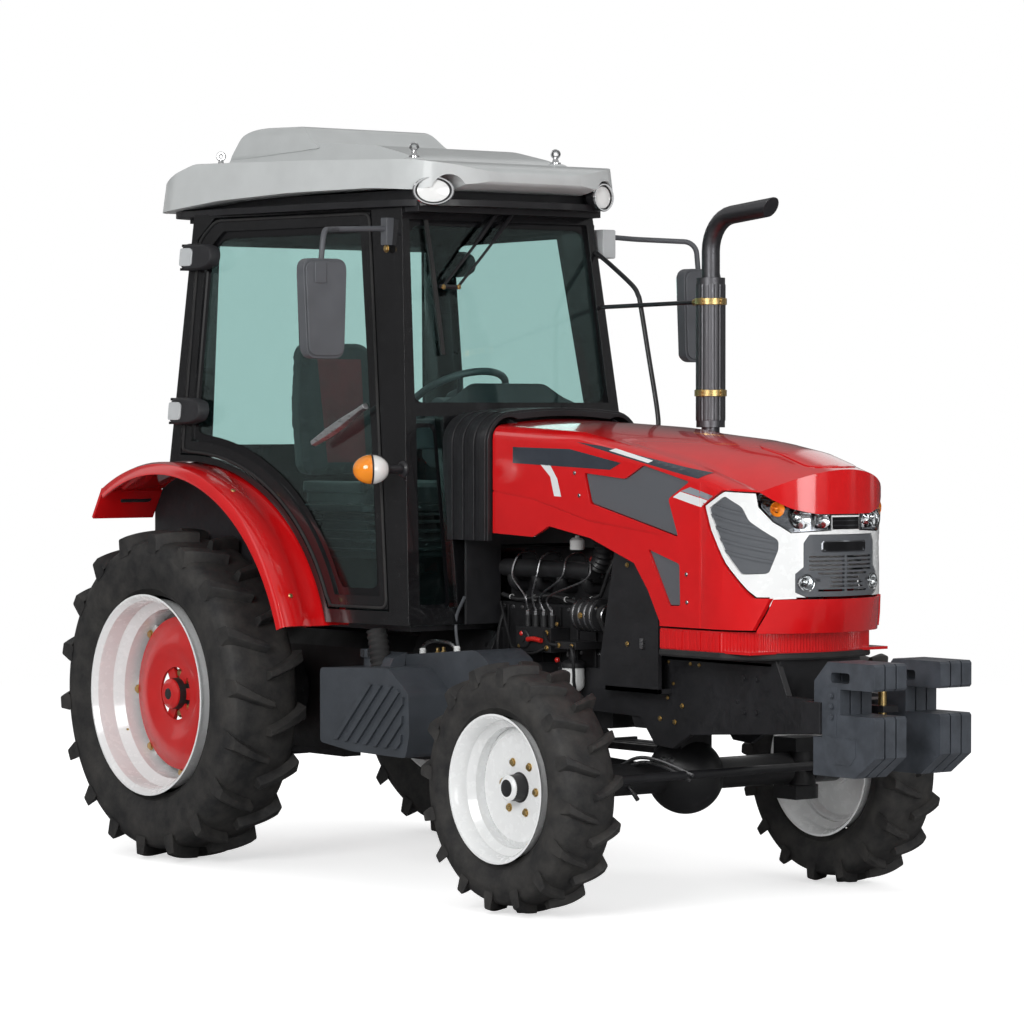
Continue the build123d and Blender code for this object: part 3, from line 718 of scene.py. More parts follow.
def lug_part(radius, crown, tall, wide, half, turn, side):
    """One lug: a bar with sloping flanks and a rounded end that runs down the shoulder."""
    verts, rows = [], lug_stations(half, crown, tall, wide)
    y, drift, width, top, root = rows[-1]
    rows.append((y * 0.995, drift + wide * 0.10, width * 1.02, crown - 18, crown - 52))
    for y, drift, width, top, root in rows:
        lean = 0.231 * (top - root)
        section = [(-width - lean, root), (-width, top - 4), (-width + 4, top), (width - 4, top),
                   (width, top - 4), (width + lean, root)]
        for across, r in section:
            a = turn + (drift + across) / radius
            verts.append(Vector((r * sin(a), side * y, -r * cos(a))) / 1000)
    return verts, net_faces(len(rows), len(section), wrap=False, caps=True)


def tyre_part(name):
    radius, width, bead, count, tall, wide = TYRES[name]
    half, crown = width / 2, radius - tall
    profile = [(r / 1000, y / 1000) for r, y in tyre_profile(bead, crown, half)]
    parts = [lathe(profile, 120)]
    for i in range(count):
        parts.append(lug_part(radius, crown, tall, wide, half, tau * i / count, 1))
        parts.append(lug_part(radius, crown, tall, wide, half, tau * (i + 0.5) / count, -1))
    return join(*parts)


print("lugs can be made")

# %% [markdown]
# The same tyre stands on both sides. It rides on its wheel, and takes the place of the plain solid.

# %% Tyres on their wheels
for end, (x, y, z) in AXLES.items():
    for side, sign in SIDES:
        part = moved(tyre_part(end), Matrix.Translation(at(x, sign * y, z)))
        tyre = piece(f"{end}_tyre_tread_{side}", *part, f"{end}_wheel_{side}", tyre_rubber, "tyre_rubber", edge=0.0015)
        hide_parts(f"{end}_tyre_{side}")
    print(end, "tyre faces:", len(tyre.data.polygons))

# %% [markdown]
# ## Shapes that cut each other
# The bonnet, its nose and the castings under it are shells with openings. A carpenter's way suits them: saw a
# block from a side outline, saw it again from above, then cut the openings out. Blender's Boolean modifier
# does the sawing. Here every shape is a set of closed shells measured in millimetres on the drawing.

# %% Sawing one shell with another


def outward(verts, faces):
    """The shell with all its faces turned outward."""
    build = bmesh.new()
    points = [build.verts.new(v) for v in verts]
    for face in faces:
        if len(set(face)) > 2:
            build.faces.new([points[i] for i in face])
    bmesh.ops.recalc_face_normals(build, faces=build.faces)
    build.verts.index_update()
    turned_faces = [[v.index for v in face.verts] for face in build.faces]
    build.free()
    return [Vector(v) for v in verts], turned_faces


def evaluated_mesh(obj):
    """A new mesh: the object's, with its modifiers done."""
    return bpy.data.meshes.new_from_object(obj.evaluated_get(bpy.context.evaluated_depsgraph_get()))


def saw(first, second, how):
    """What a Boolean modifier leaves of the first shell after the second one."""
    pair = []
    for verts, faces in (first, second):
        mesh = bpy.data.meshes.new("block")
        mesh.from_pydata([v / 1000 for v in verts], [], faces)
        pair.append(new_object("block", mesh))
    cut = pair[0].modifiers.new("saw", "BOOLEAN")
    cut.operation, cut.solver, cut.object = how, "EXACT", pair[1]
    done = evaluated_mesh(pair[0])
    result = [v.co * 1000 for v in done.vertices], [list(p.vertices) for p in done.polygons]
    for block in pair:
        bpy.data.meshes.remove(block.data)
    bpy.data.meshes.remove(done)
    return result


def apart(first, second):
    """Whether two shells' bounds don't touch."""
    for axis in range(3):
        a, b = [v[axis] for v in first[0]], [v[axis] for v in second[0]]
        if min(a) > max(b) or min(b) > max(a):
            return True
    return False


print("the saw is ready")

# %% Shapes that add, cut and meet


class Shape:
    """Closed shells that can be joined (+), cut (-) or kept in common (&)."""

    def __init__(self, *shells):
        self.shells = list(shells)

    def __add__(self, other):
        return Shape(*self.shells, *other.shells)

    def __sub__(self, other):
        left = []
        for shell in self.shells:
            for cutter in other.shells:
                if shell[1] and not apart(shell, cutter):
                    shell = saw(shell, cutter, "DIFFERENCE")
            left.append(shell)
        return Shape(*[shell for shell in left if shell[1]])

    def __and__(self, other):
        common = [saw(a, b, "INTERSECT") for a in self.shells for b in other.shells if not apart(a, b)]
        return Shape(*[shell for shell in common if shell[1]])


def total(*shapes):
    return Shape(*[shell for shape in shapes for shell in shape.shells])


def mirrored(shape):
    return Shape(*[([Vector((v.x, -v.y, v.z)) for v in verts], [list(f)[::-1] for f in faces])
                   for verts, faces in shape.shells])


def both(shape):
    return shape + mirrored(shape)


print("shapes can be added, cut and met")

# %% [markdown]
# Most shapes start as an outline that is pushed through space: seen from the side, from the front or above.

# %% Blocks, bars and sections
def prism(outline, low, high, place, corner=0):
    outline = rounded(outline, corner) if corner else outline
    return Shape(outward(*plate(outline, low, high, place)))


def prism_y(outline, y0, y1, corner=0):
    return prism(outline, y0, y1, lambda x, z, y: Vector((x, y, z)), corner)


def prism_x(outline, x0, x1, corner=0):
    return prism(outline, x0, x1, lambda y, z, x: Vector((x, y, z)), corner)


def prism_z(outline, z0, z1, corner=0):
    return prism(outline, z0, z1, lambda x, y, z: Vector((x, y, z)), corner)


def box(x0, x1, y0, y1, z0, z1):
    return prism_z(rectangle(x0, x1, y0, y1), z0, z1)


def rod(start, end, radius, steps=28, end_radius=None):
    """A round bar, or a cone, between two places."""
    start, end = Vector(start), Vector(end)
    turn = along(end - start)
    last = radius if end_radius is None else end_radius
    rings = [[start + turn @ Vector((r * cos(tau * k / steps), d, r * sin(tau * k / steps))) for k in range(steps)]
             for r, d in ((radius, 0), (last, (end - start).length))]
    return lofted(rings)


def lofted(rings):
    """A shell through rings of points, closed at both ends."""
    n = len(rings[0])
    verts = [Vector(p) for ring in rings for p in ring]
    faces = [list(range(n)), list(range((len(rings) - 1) * n, len(rings) * n))]
    for i in range(len(rings) - 1):
        for k in range(n):
            a, b, c, d = i * n + k, i * n + (k + 1) % n, (i + 1) * n + (k + 1) % n, (i + 1) * n + k
            faces += [[a, b, c], [a, c, d]]
    return Shape(outward(verts, faces))


def disc_y(x, z, radius, y0, y1, steps=28):
    return rod((x, min(y0, y1), z), (x, max(y0, y1), z), radius, steps)


print("blocks and bars ready")

# %% Arcs and tubes


def arc_through(a, b, c, steps):
    """Points of the circle through three plane points, from a to c, without a."""
    (ax, ay), (bx, by), (cx, cy) = a, b, c
    d = 2 * (ax * (by - cy) + bx * (cy - ay) + cx * (ay - by))
    ux = ((ax * ax + ay * ay) * (by - cy) + (bx * bx + by * by) * (cy - ay) + (cx * cx + cy * cy) * (ay - by)) / d
    uy = ((ax * ax + ay * ay) * (cx - bx) + (bx * bx + by * by) * (ax - cx) + (cx * cx + cy * cy) * (bx - ax)) / d
    angles = [atan2(y - uy, x - ux) for x, y in (a, b, c)]
    sweep = (angles[2] - angles[0]) % tau
    if (angles[1] - angles[0]) % tau > sweep:
        sweep -= tau
    r = hypot(ax - ux, ay - uy)
    return [(ux + r * cos(angles[0] + sweep * k / steps), uy + r * sin(angles[0] + sweep * k / steps))
            for k in range(1, steps + 1)]


def bent(points, radii, steps=8):
    """A line through places with its corners rounded to the given radii."""
    line = [Vector(points[0])]
    for i, r in enumerate(radii, 1):
        here = Vector(points[i])
        back, ahead = (Vector(points[i - 1]) - here).normalized(), (Vector(points[i + 1]) - here).normalized()
        reach = r / tan(back.angle(ahead) / 2)
        a, c = here + back * reach, here + ahead * reach
        centre = here + (back + ahead).normalized() * (r / sin(back.angle(ahead) / 2))
        for k in range(steps + 1):
            line.append(centre + (a - centre).slerp(c - centre, k / steps).normalized() * r)
    return line + [Vector(points[-1])]


def tube(points, radius, radii, sides=20):
    """A round pipe along straight runs joined by arcs."""
    return lofted(rings_along(bent(points, radii), [radius], sides))


print("arcs and tubes ready")

# %% [markdown]
# A finished shape becomes a piece that rides on a body and replaces a solid. Its surface is also kept as a
# tree of faces, so that stripes, lamps and screws can be dropped on it by rays later.

# %% From shape to piece
TREES = {}


def surface_of(mesh):
    """A mesh's faces, ready to be hit by rays."""
    return BVHTree.FromPolygons([v.co.copy() for v in mesh.vertices], [list(p.vertices) for p in mesh.polygons])


def dress(name, shape, body, finish, slot, edge=0.001, stands_for=None):
    """Turns a shape into a piece that takes the place of a solid, and keeps its surface for laying trim on."""
    verts, faces = join(*shape.shells)
    verts = [at(*v) for v in verts]
    made = piece(name, verts, faces, body, finish, slot, edge=edge)
    if stands_for:
        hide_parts(stands_for)
        TREES[stands_for] = BVHTree.FromPolygons(verts, [list(f) for f in faces])
    return made


# %% [markdown]
# ## The bonnet
# The hood is one pressed shell: upright flanks, a tight corner and a crowned top that falls toward a rounded
# nose. Two blocks give its form. One is lofted through sections along the hood, the other is the plan of the
# nose pulled upward, and what they have in common is the outside. The same pair, made smaller, is the inside.

# %% The hood's block and shell
HOOD = [  # x, half width, crease z, top z, corner radius
    (1400, 335, 1655, 1673, 50), (1950, 336, 1628, 1648, 52), (2520, 334, 1525, 1604, 56),
    (2760, 331, 1456, 1566, 58), (3060, 326, 1360, 1478, 58),
]
SKIN = 14
HOOD_LOW, HOOD_HIGH = 880, 1800  # the blocks reach past the hood, below and above


def hood_ring(x, half, crease, top, corner, low=860):
    """One front-view section of the hood."""
    edge = [(-half, low), (-half, crease - corner)]
    edge += arc_through(edge[-1], (-half + corner * 0.3, crease - corner * 0.26), (-half + corner, crease), 6)
    edge += arc_through(edge[-1], (0, top), (half - corner, crease), 22)
    edge += arc_through(edge[-1], (half - corner * 0.3, crease - corner * 0.26), (half, crease - corner), 6)
    return [(x, y, z) for y, z in edge + [(half, low)]]


def hood_block(inset):
    return lofted([hood_ring(x, half - inset, crease - inset, top - inset, corner)
                   for x, half, crease, top, corner in HOOD])


def nose_plan(grow, back=0):
    """Plan of the rounded nose, from well behind it to the tip; back pulls the tip rearward."""
    side = [(1300, 345 + grow), (2590, 345 + grow), (2600, 330 + grow), (2795, 297 + grow),
            (2905 + grow * 0.7 - back * 0.8, 196 + grow * 0.7), (2966 + grow - back, 0)]
    far = [(x, -y) for x, y in side]
    edge = [side[1], side[0], far[0], far[1], far[2]]
    edge += arc_through(far[2], far[3], far[4], 10)
    edge += arc_through(far[4], side[5], side[4], 20)
    return edge + arc_through(side[4], side[3], side[2], 10)


def nose_block(grow, low, high):
    return prism_z(nose_plan(grow), low, high)


print("the hood's two blocks are drawn")

# %% Walls at a depth under the surface
BLOCKS = {}


def hood_form(inset, low=HOOD_LOW, high=HOOD_HIGH):
    """The whole outer form of hood and nose, smaller by inset; kept, because several pieces start from it."""
    if (inset, low) not in BLOCKS:
        BLOCKS[inset, low] = hood_block(inset) & nose_block(-inset, low, high)
    return BLOCKS[inset, low]


def hood_shell(out, deep, kept=None):
    """The wall between two depths under the hood's surface, or only the part of it inside another shape."""
    outer = (hood_block(out) & kept) & nose_block(-out, HOOD_LOW, HOOD_HIGH) if kept else hood_form(out)
    return outer - hood_form(deep, HOOD_LOW - 5, HOOD_HIGH + 5)


print("hood walls can be made")

# %% [markdown]
# These outlines are read off the drawing, seen from the side, or from the front for the face.

# %% The outlines that are cut out of the hood
FAR_X, WIDE = 3100, 500  # in front of the nose, and beyond either flank
BONNET_BACK, BONNET_LOW = 1470, 971
FLANK_EDGE = [  # x, z along the lower edge of the flank, from the cowl to the bumper
    (1480, 1264), (1701, 1256), (1792, 1296), (2019, 1260), (2257, 1180), (2330, 1090), (2392, 985),
    (2392, BONNET_LOW),
]
FACE_EDGE = [(2706, 1436), (2612, 1382), (2642, 1302), (2712, 1188), (2787, 1102), (2812, 1078)]
LIFT_LINE = [(2858, 1078), (2838, 1028), (2811, 968)]
BAR_EDGE = [(2865, 1078), (2847, 1030), (2833, 1000), (2819, 971), (2817, 950)]
BROW_EDGE = [(FAR_X, 1354), (2945, 1358), (2905, 1376), (2868, 1402), (2832, 1430)]
FACE_TOP = [(FAR_X, 1349), (2943, 1353), (2901, 1371), (2863, 1397), (2829, 1425), (2712, 1431)]
WINDOW = [(1986, 1485), (2208, 1467), (2304, 1515), (2545, 1462), (2436, 1402), (2488, 1275), (2019, 1381)]
SLIT = [(2331, 1230), (2494, 1184), (2499, 1043), (2442, 1041)]
SIDE_MESH = [(2636, 1374), (2712, 1417), (2775, 1381), (2797, 1335), (2874, 1273), (2874, 1240), (2852, 1160),
             (2772, 1156), (2714, 1228)]
SEAM_LINE = [(1460, 1419), (1701, 1393), (2019, 1322), (2400, 1283)]
LAMP_FACE = [(62, 1302), (62, 1380), (180, 1390), (232, 1410), (278, 1440), (272, 1380), (242, 1332), (195, 1295)]
GRILLE_FACE = [(-182, 1098), (-150, 1082), (150, 1082), (182, 1098), (182, 1160), (158, 1182), (158, 1262),
               (140, 1290), (-140, 1290), (-158, 1262), (-158, 1182), (-182, 1160)]
FOG_AT, FOG_R = (146, 1130), 24
BADGE = (94, 1235, 1265)  # half width, low and high edge of the blank plate


def shrunk(outline, scale):
    """An outline drawn in towards its middle."""
    cx = sum(x for x, z in outline) / len(outline)
    cz = sum(z for x, z in outline) / len(outline)
    return [(cx + (x - cx) * scale, cz + (z - cz) * scale) for x, z in outline]


print("outlines ready")

# %% [markdown]
# First the wall of the hood is sawn out of its block, then the openings for the engine, face and meshes.

# %% The red hood
hood = hood_shell(0, SKIN)
below = prism_y([(1300, 800), (1300, 1264)] + FLANK_EDGE + [(3200, BONNET_LOW), (3200, 800)], -WIDE, WIDE)
face_cut = prism_y(FACE_EDGE + LIFT_LINE + [(2790, 900), (FAR_X, 900)] + BROW_EDGE, -WIDE, WIDE)
hood = hood & box(BONNET_BACK, FAR_X, -WIDE, WIDE, 900, 1800)
hood = hood - below - face_cut
for sign in (1, -1):
    reach = sorted((sign * 300, sign * 400))
    hood = hood - prism_y(WINDOW, *reach, 12) - prism_y(SLIT, *reach, 10)
    groove = [(x, z - 5) for x, z in SEAM_LINE] + [(x, z) for x, z in reversed(SEAM_LINE)]
    hood = hood - prism_y(groove, *sorted((sign * 331, sign * 345)))
dress("bonnet_shell", hood, "bonnet", red_gloss, "red_paint", 0.0012, "bonnet")

# %% [markdown]
# ## The white face, the meshwork and the bumper
# Under the brow sits a white face with openings for the lamps, the middle grille and two cheek meshes. It
# follows the same nose, so it is cut from a second shell a few millimetres deeper than the hood.

# %% The white face
wall = hood_shell(6, 6 + SKIN)
face = prism_y([(2620, 1382), (2650, 1302), (2718, 1192), (2793, 1106), (2820, 1082), (FAR_X, 1082)] + FACE_TOP,
               -WIDE, WIDE)
surround = wall & face
surround = surround - prism_x(GRILLE_FACE, 2800, FAR_X)
for sign in (1, -1):
    surround = surround - prism_y(SIDE_MESH, *sorted((sign * 170, sign * 500)), 12)
    surround = surround - prism_x([(sign * y, z) for y, z in LAMP_FACE], 2600, FAR_X)
white_face = dress("nose_surround", surround, "bonnet", white_gloss, "white_paint", 0.001)
TREES["nose_surround"] = surface_of(white_face.data)

# %% [markdown]
# The meshes lie a little deeper than the paint. Ribs and slots break them up, so that they catch the light.

# %% Meshwork
def side_mesh(outline, out, rib_z):
    """A mesh panel behind an opening of the right flank, with raised ribs."""
    column = prism_y(outline, -500, -150, 10)
    panel = hood_shell(out, out + 8, column)
    for z in rib_z:
        rib = prism_y([(2500, z + 60), (2700, z + 14), (2960, z - 44), (2960, z - 34), (2700, z + 24), (2500, z + 70)],
                      -500, -150)
        panel = panel + hood_shell(out - 5, out + 2, rib & column)
    return panel


inner = [(y * 0.985, 1186 + (z - 1186) * 0.985) for y, z in GRILLE_FACE]
middle = hood_shell(9, 21, prism_x(inner, 2800, FAR_X))
for i in range(13):
    z = 1100 + 14 * i
    half = 138 if z > 1165 else 108
    if z + 7 <= BADGE[1] - 6 or z >= BADGE[2] + 6:
        middle = middle - box(2820, FAR_X, 5, half, z, z + 7) - box(2820, FAR_X, -half, -5, z, z + 7)
for sign in (1, -1):
    middle = middle - rod((2800, sign * FOG_AT[0], FOG_AT[1]), (FAR_X, sign * FOG_AT[0], FOG_AT[1]), FOG_R + 4)
badge = hood_shell(5, 15, prism_x(rectangle(-BADGE[0], BADGE[0], *BADGE[1:]), 2800, FAR_X, 8))
cheek = side_mesh(shrunk(SIDE_MESH, 0.985), 12, (1215, 1250, 1285, 1320, 1355))
window = hood_shell(8, 14, prism_y(shrunk(WINDOW, 0.98), -500, -300, 11))
slit = hood_shell(8, 14, prism_y(shrunk(SLIT, 0.97), -500, -300, 8))
mesh_work = total(middle, badge, both(cheek), both(window), both(slit))
dress("meshwork", mesh_work, "bonnet", mesh_grey, "moulded_black", 0.0006, "nose_grille")

# %% Nose lamps
lamp = hood_shell(2, 44) & prism_x([(-y, z) for y, z in shrunk(LAMP_FACE, 0.965)], 2600, FAR_X)
lamp = lamp & prism_y([(2712, 1200), (FAR_X, 1200)] + FACE_TOP, -WIDE, WIDE)
fog = rod((2880, -FOG_AT[0], FOG_AT[1]), (2926, -FOG_AT[0], FOG_AT[1]), FOG_R)
verts, faces = join(*total(both(lamp), both(fog)).shells)
TREES["headlamps"] = BVHTree.FromPolygons([at(*v) for v in verts], faces)
verts, faces = join(*both(fog).shells)
fogs = piece("fog_lamps", [at(*v) for v in verts], faces, "bonnet", lens_glass, "lamp_chrome", edge=0.001)
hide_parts("headlamps")

# %% [markdown]
# The bumper is a wide U round the frame with a lip below, and an upright bar that follows the nose.

# %% Bumper
def strip_plan(grow, tip):
    """Plan of the bumper's lower strip, a wide U round the frame."""
    side = [(2377, 318 + grow), (2690, 316 + grow), (2800 + grow, 250 + grow), (tip, 0)]
    far = [(x, -y) for x, y in side]
    return [side[1], side[0], far[0], far[1], far[2]] + arc_through(far[2], side[3], side[2], 18)


strip = prism_z(strip_plan(0, 2866), 890, 964) - prism_z(strip_plan(-26, 2836), 870, 990)
lip = prism_z(strip_plan(-6, 2858), 878, 890) - prism_z(strip_plan(-26, 2836), 870, 990)
bar = lofted([[(x, y, z) for x, y in nose_plan(-3, back)] for z, back in ((960, 40), (1075, 0))])
bar = (bar - prism_z(nose_plan(-27, 42), 972, 1102)) & prism_y(BAR_EDGE + [(3100, 950), (3100, 1078)], -400, 400)
ribs = [box(2410 + 32 * i, 2426 + 32 * i, min(s * 312, s * 321), max(s * 312, s * 321), 896, 958)
        for i in range(9) for s in (-1, 1)]
dress("bumper", total(strip, lip, bar, *ribs, box(2560, 2830, -312, 312, 890, 900)), "chassis", red_gloss,
      "red_paint", 0.0012, "side_panels")

# %% [markdown]
# ## Roof, cowl and the small pieces of the cab
# The roof is a side outline and a plan that share a block, with a lower tier and the air conditioner's hump
# set on top. The cowl is an arch pushed out along the machine, thinned by a smaller arch inside it.


# %% Turned rings
def ring_y(profile, x=0, y=0, z=0, steps=72):
    """A closed profile of (radius, y) points turned about an axis along Y."""
    verts, faces = lathe(profile, steps, True)
    return Shape(outward([v + Vector((x, y, z)) for v in verts], [list(f) for f in faces]))


def placed(shape, matrix):
    return Shape(*[([matrix @ v for v in verts], faces) for verts, faces in shape.shells])


def about_y(shape, degrees):
    return placed(shape, Matrix.Rotation(radians(degrees), 4, "Y"))


print("rings can be turned")

# %% Roof
ROOF_SIDE = [  # x, z of the main shell, seen from the side
    (-322, 2462), (-226, 2464), (132, 2492), (541, 2506), (976, 2508), (1180, 2496), (1292, 2520), (1300, 2560),
    (1250, 2592), (1150, 2607), (617, 2623), (-47, 2640), (-151, 2615), (-262, 2577), (-335, 2545), (-340, 2480),
]
ROOF_PLAN = [(-345, 470), (-300, 590), (-200, 628), (150, 622), (700, 575), (1120, 500), (1240, 430), (1302, 240)]
TIER_SIDE = [(-215, 2600), (-215, 2660), (-196, 2690), (381, 2711), (758, 2681), (964, 2637), (1040, 2600)]
HUMP_SIDE = [(-205, 2670), (-196, 2690), (-153, 2767), (-95, 2785), (-20, 2789), (235, 2781), (262, 2772),
             (333, 2715), (400, 2690)]
LAMP_AT = (1175, 362, 2492)
plan = rounded([(x, -y) for x, y in ROOF_PLAN] + [(x, y) for x, y in reversed(ROOF_PLAN)], 90, 5)
roof_block = lofted([[(x, y, 2440) for x, y in plan], [(x * 0.985 + 4, y * 0.95, 2660) for x, y in plan]])
shell = roof_block & prism_y(rounded(ROOF_SIDE, 26, 3), -660, 660)
tier = prism_y(rounded(TIER_SIDE, 30, 3), -400, 400) & prism_x(
    rounded([(-345, 2590), (345, 2590), (312, 2720), (-312, 2720)], 26, 3), -300, 1200)
hump = prism_y(rounded(HUMP_SIDE, 30, 4), -400, 400) & prism_x(
    rounded([(-332, 2660), (332, 2660), (305, 2762), (280, 2792), (-280, 2792), (-305, 2762)], 30, 4), -300, 600)
for sign in (1, -1):
    shell = shell - rod((1105, sign * LAMP_AT[1], LAMP_AT[2]), (1420, sign * LAMP_AT[1], LAMP_AT[2]), 60)
shell = shell - prism_y([(-150, 2400), (1050, 2400), (1050, 2490), (-100, 2478)], -470, 470)
dress("roof_shell", total(shell, tier, hump), "chassis", roof_grey, "roof_shell", 0.003, "roof")
under_plan = [(x * 0.94 + 18, y * 0.93) for x, y in plan]
liner = prism_z(under_plan, 2440, 2464) + prism_z([(-196, -520), (1148, -425), (1148, 425), (-196, 520)], 2420, 2500)
dress("roof_lining", liner, "chassis", black_satin, "cab_paint", 0.001)

# %% [markdown]
# Four ridges run over the cowl. A slanted plane cuts its rear end off, where the windscreen stands.

# %% Cowl
def cowl_body(x0, x1, grow):
    """A length of the arch, larger all round by grow."""
    half, low, shoulder, top = 352 + grow, 1236, 1575, 1703 + grow
    edge = [(-half, low), (-half, shoulder)]
    edge += arc_through(edge[-1], (-half + 34, shoulder + 88), (-half + 118, top - 12), 8)
    edge += arc_through(edge[-1], (0, top), (half - 118, top - 12), 12)
    edge += arc_through(edge[-1], (half - 34, shoulder + 88), (half, shoulder), 8)
    return prism_x(edge + [(half, low)], x0, x1)


arch = cowl_body(1196, 1462, 0) - cowl_body(1180, 1470, -22)
ridges = [cowl_body(x, x + 30, 8) - cowl_body(x - 5, x + 36, -8) for x in (1232, 1296, 1360, 1424)]
SCREEN_FOOT, SCREEN_LEAN = 1384, 0.1264
screen_plane = [(1000, 1200), (SCREEN_FOOT - SCREEN_LEAN * 1200, 1200), (SCREEN_FOOT - SCREEN_LEAN * 1800, 1800),
                (1000, 1800)]
arch = total(arch, *ridges) - prism_y(screen_plane, -500, 500)
bulkhead = cowl_body(1296, 1306, -10) + (box(1296, 1306, -330, 330, 930, 1240) - box(1290, 1310, -170, 170, 920, 1215))
arm = total(prism_y([(1440, 1600), (1490, 1642), (1490, 1658), (1476, 1659), (1440, 1672)], 237, 247),
            disc_y(1482, 1650, 6, 160, 242), box(1300, 1446, 237, 247, 1560, 1655))
dress("cowl_arch", total(arch, bulkhead, both(arm)), "chassis", black_satin, "moulded_black", 0.002, "cowl")

# %% [markdown]
# The stack is a bent tube with its end sawn at a slant. The mirrors are drawn once and mirrored.

# %% Exhaust and mirrors
STACK = (1800, 405)
sx, sy = STACK
stack = tube([(sx, 226, 1110), (sx, sy, 1110), (sx, sy, 2392), (sx + 345, sy, 2424)], 33, [90, 128], 28)
stack = stack - prism_y([(sx + 300, 2340), (sx + 300, 2376), (sx + 352, 2470), (sx + 400, 2470), (sx + 400, 2340)],
                        sy - 60, sy + 60)
shield = rod((sx, sy, 1640), (sx, sy, 2180), 52, 40) - rod((sx, sy, 1630), (sx, sy, 2190), 47, 40)
rings = [rod((sx, sy, z), (sx, sy, z + 24), 57, 40) for z in (1752, 2082)]
stay = rod((1128, 452, 2088), (sx - 50, sy + 4, 2094), 8)
dress("exhaust_stack", total(stack, shield, *rings, stay, disc_y(sx, 1110, 46, 226, 238)), "chassis", pipe_metal,
      "pipe_grey", 0.001, "exhaust")
foot = box(1000, 1038, -486, -452, 2300, 2400)
arm = tube([(1018, -462, 2362), (1020, -700, 2352), (1180, -866, 2340), (1180, -880, 2215)], 10, [60, 50], 14)
HEAD = [(-974, 2238), (-784, 2238), (-796, 1884), (-956, 1884)]
head = prism_x(rounded(HEAD, 44, 8), 1162, 1206) + prism_x(rounded(shrunk(HEAD, 0.94), 38, 8), 1206, 1214)
raised = prism_x(rounded(rectangle(-930, -880, 2226, 2150), 8, 3), 1212, 1218)
dress("mirror_set", both(total(foot, arm, head, raised)), "chassis", grey_plastic, "moulded_black", 0.004, "mirrors")

# %% [markdown]
# ## Castings and sheet metal below
# The front weights are cut from one side outline, each with a slot for the hand. The engine is a stack of
# sawn and turned parts, as on the real one: block, sump, head, valve cover, bent intake runners, pump.

# %% Weights, front frame and radiator
WEIGHT = [  # x, z round one weight, from its lower rear corner; the hook over the carrier comes last
    (3036, 505), (3236, 505), (3330, 575), (3330, 700), (3322, 708), (3165, 708), (3165, 792), (3322, 792),
    (3330, 800), (3330, 872), (3322, 880), (3105, 880), (3040, 815), (3040, 745), (3078, 745), (3078, 632),
    (3036, 632),
]
bank = []
for y in (98, 147, 196):
    slab = prism_y(WEIGHT, y - 21.5, y + 21.5)
    bank.append(slab - prism_y(rectangle(3120, 3210, 812, 846), y - 30, y + 30, 12))
bank += [rod((x, 80, z), (x, 216, z), 12) for x, z in ((3110, 590), (3235, 845))]
bank += [prism_y(o, 217, 219.5) for o in ([(3135, 545), (3215, 545), (3240, 575), (3240, 632), (3135, 632)],
                                          rectangle(3105, 3150, 640, 800))]
dress("weights", both(total(*bank)), "chassis", cast_slate, "weight_paint", 0.003, "front_weights")
FRAME_PLATE = [  # x, z of the front frame's side plate
    (1660, 650), (1660, 790), (1960, 800), (2196, 858), (2817, 876), (2877, 752), (3000, 748), (3000, 634),
    (2382, 593), (2290, 540), (2197, 547), (2116, 640),
]
POST = [(-90, 660), (-60, 600), (60, 600), (90, 660), (90, 700), (-90, 700)]  # round the front axle's pin
post = prism_y([(WHEELBASE + x, z) for x, z in POST], -180, 180)
FRAME_SIDE = 190  # y of the plates' outer faces
frame_parts = [prism_y(FRAME_PLATE, *sorted((s * (FRAME_SIDE - 24), s * FRAME_SIDE))) for s in (-1, 1)]
frame_parts += [post, box(2540, 2600, -180, 180, 640, 690), box(2230, 2800, -190, 190, 845, 857),
                box(2790, 2830, -180, 180, 660, 870), box(2985, 3078, -227, 227, 640, 745)]
frame_parts += [box(3073, 3175, -34, 34, z, z + 22) for z in (655, 708)] + [rod((3135, 0, 600), (3135, 0, 800), 13)]
dress("front_frame", total(*frame_parts), "chassis", black_satin, "cast_black", 0.0015, "front_support")
core = total(box(2150, 2235, -240, 240, 870, 1340),
             prism_y([(2140, 1340), (2245, 1340), (2235, 1385), (2150, 1385)], -225, 225))


def square(x, half, z):
    return [(x, -half, z - half), (x, half, z - half), (x, half, z + half), (x, -half, z + half)]


shroud = lofted([square(2060, 215, 1045), square(2150, 235, 1105)])
shroud = shroud - lofted([square(2055, 207, 1045), square(2140, 227, 1105)])
SHEET = [(1975, 730), (2290, 730), (2290, 1300), (2120, 1300), (2060, 1240), (1975, 830)]
sheets = [prism_y(SHEET, s * 247 - 8, s * 247 + 8) for s in (-1, 1)]
cleaner = total(rod((1990, -170, 1428), (2290, -170, 1428), 56), rod((2290, -170, 1428), (2306, -170, 1428), 62),
                box(2120, 2140, -200, -140, 1300, 1385), box(2140, 2160, -235, 235, 870, 1340))
dress("cooler", total(core, shroud, *sheets, cleaner, box(2005, 2290, -255, 255, 730, 746)), "chassis", black_satin,
      "radiator_black", 0.0015, "radiator")

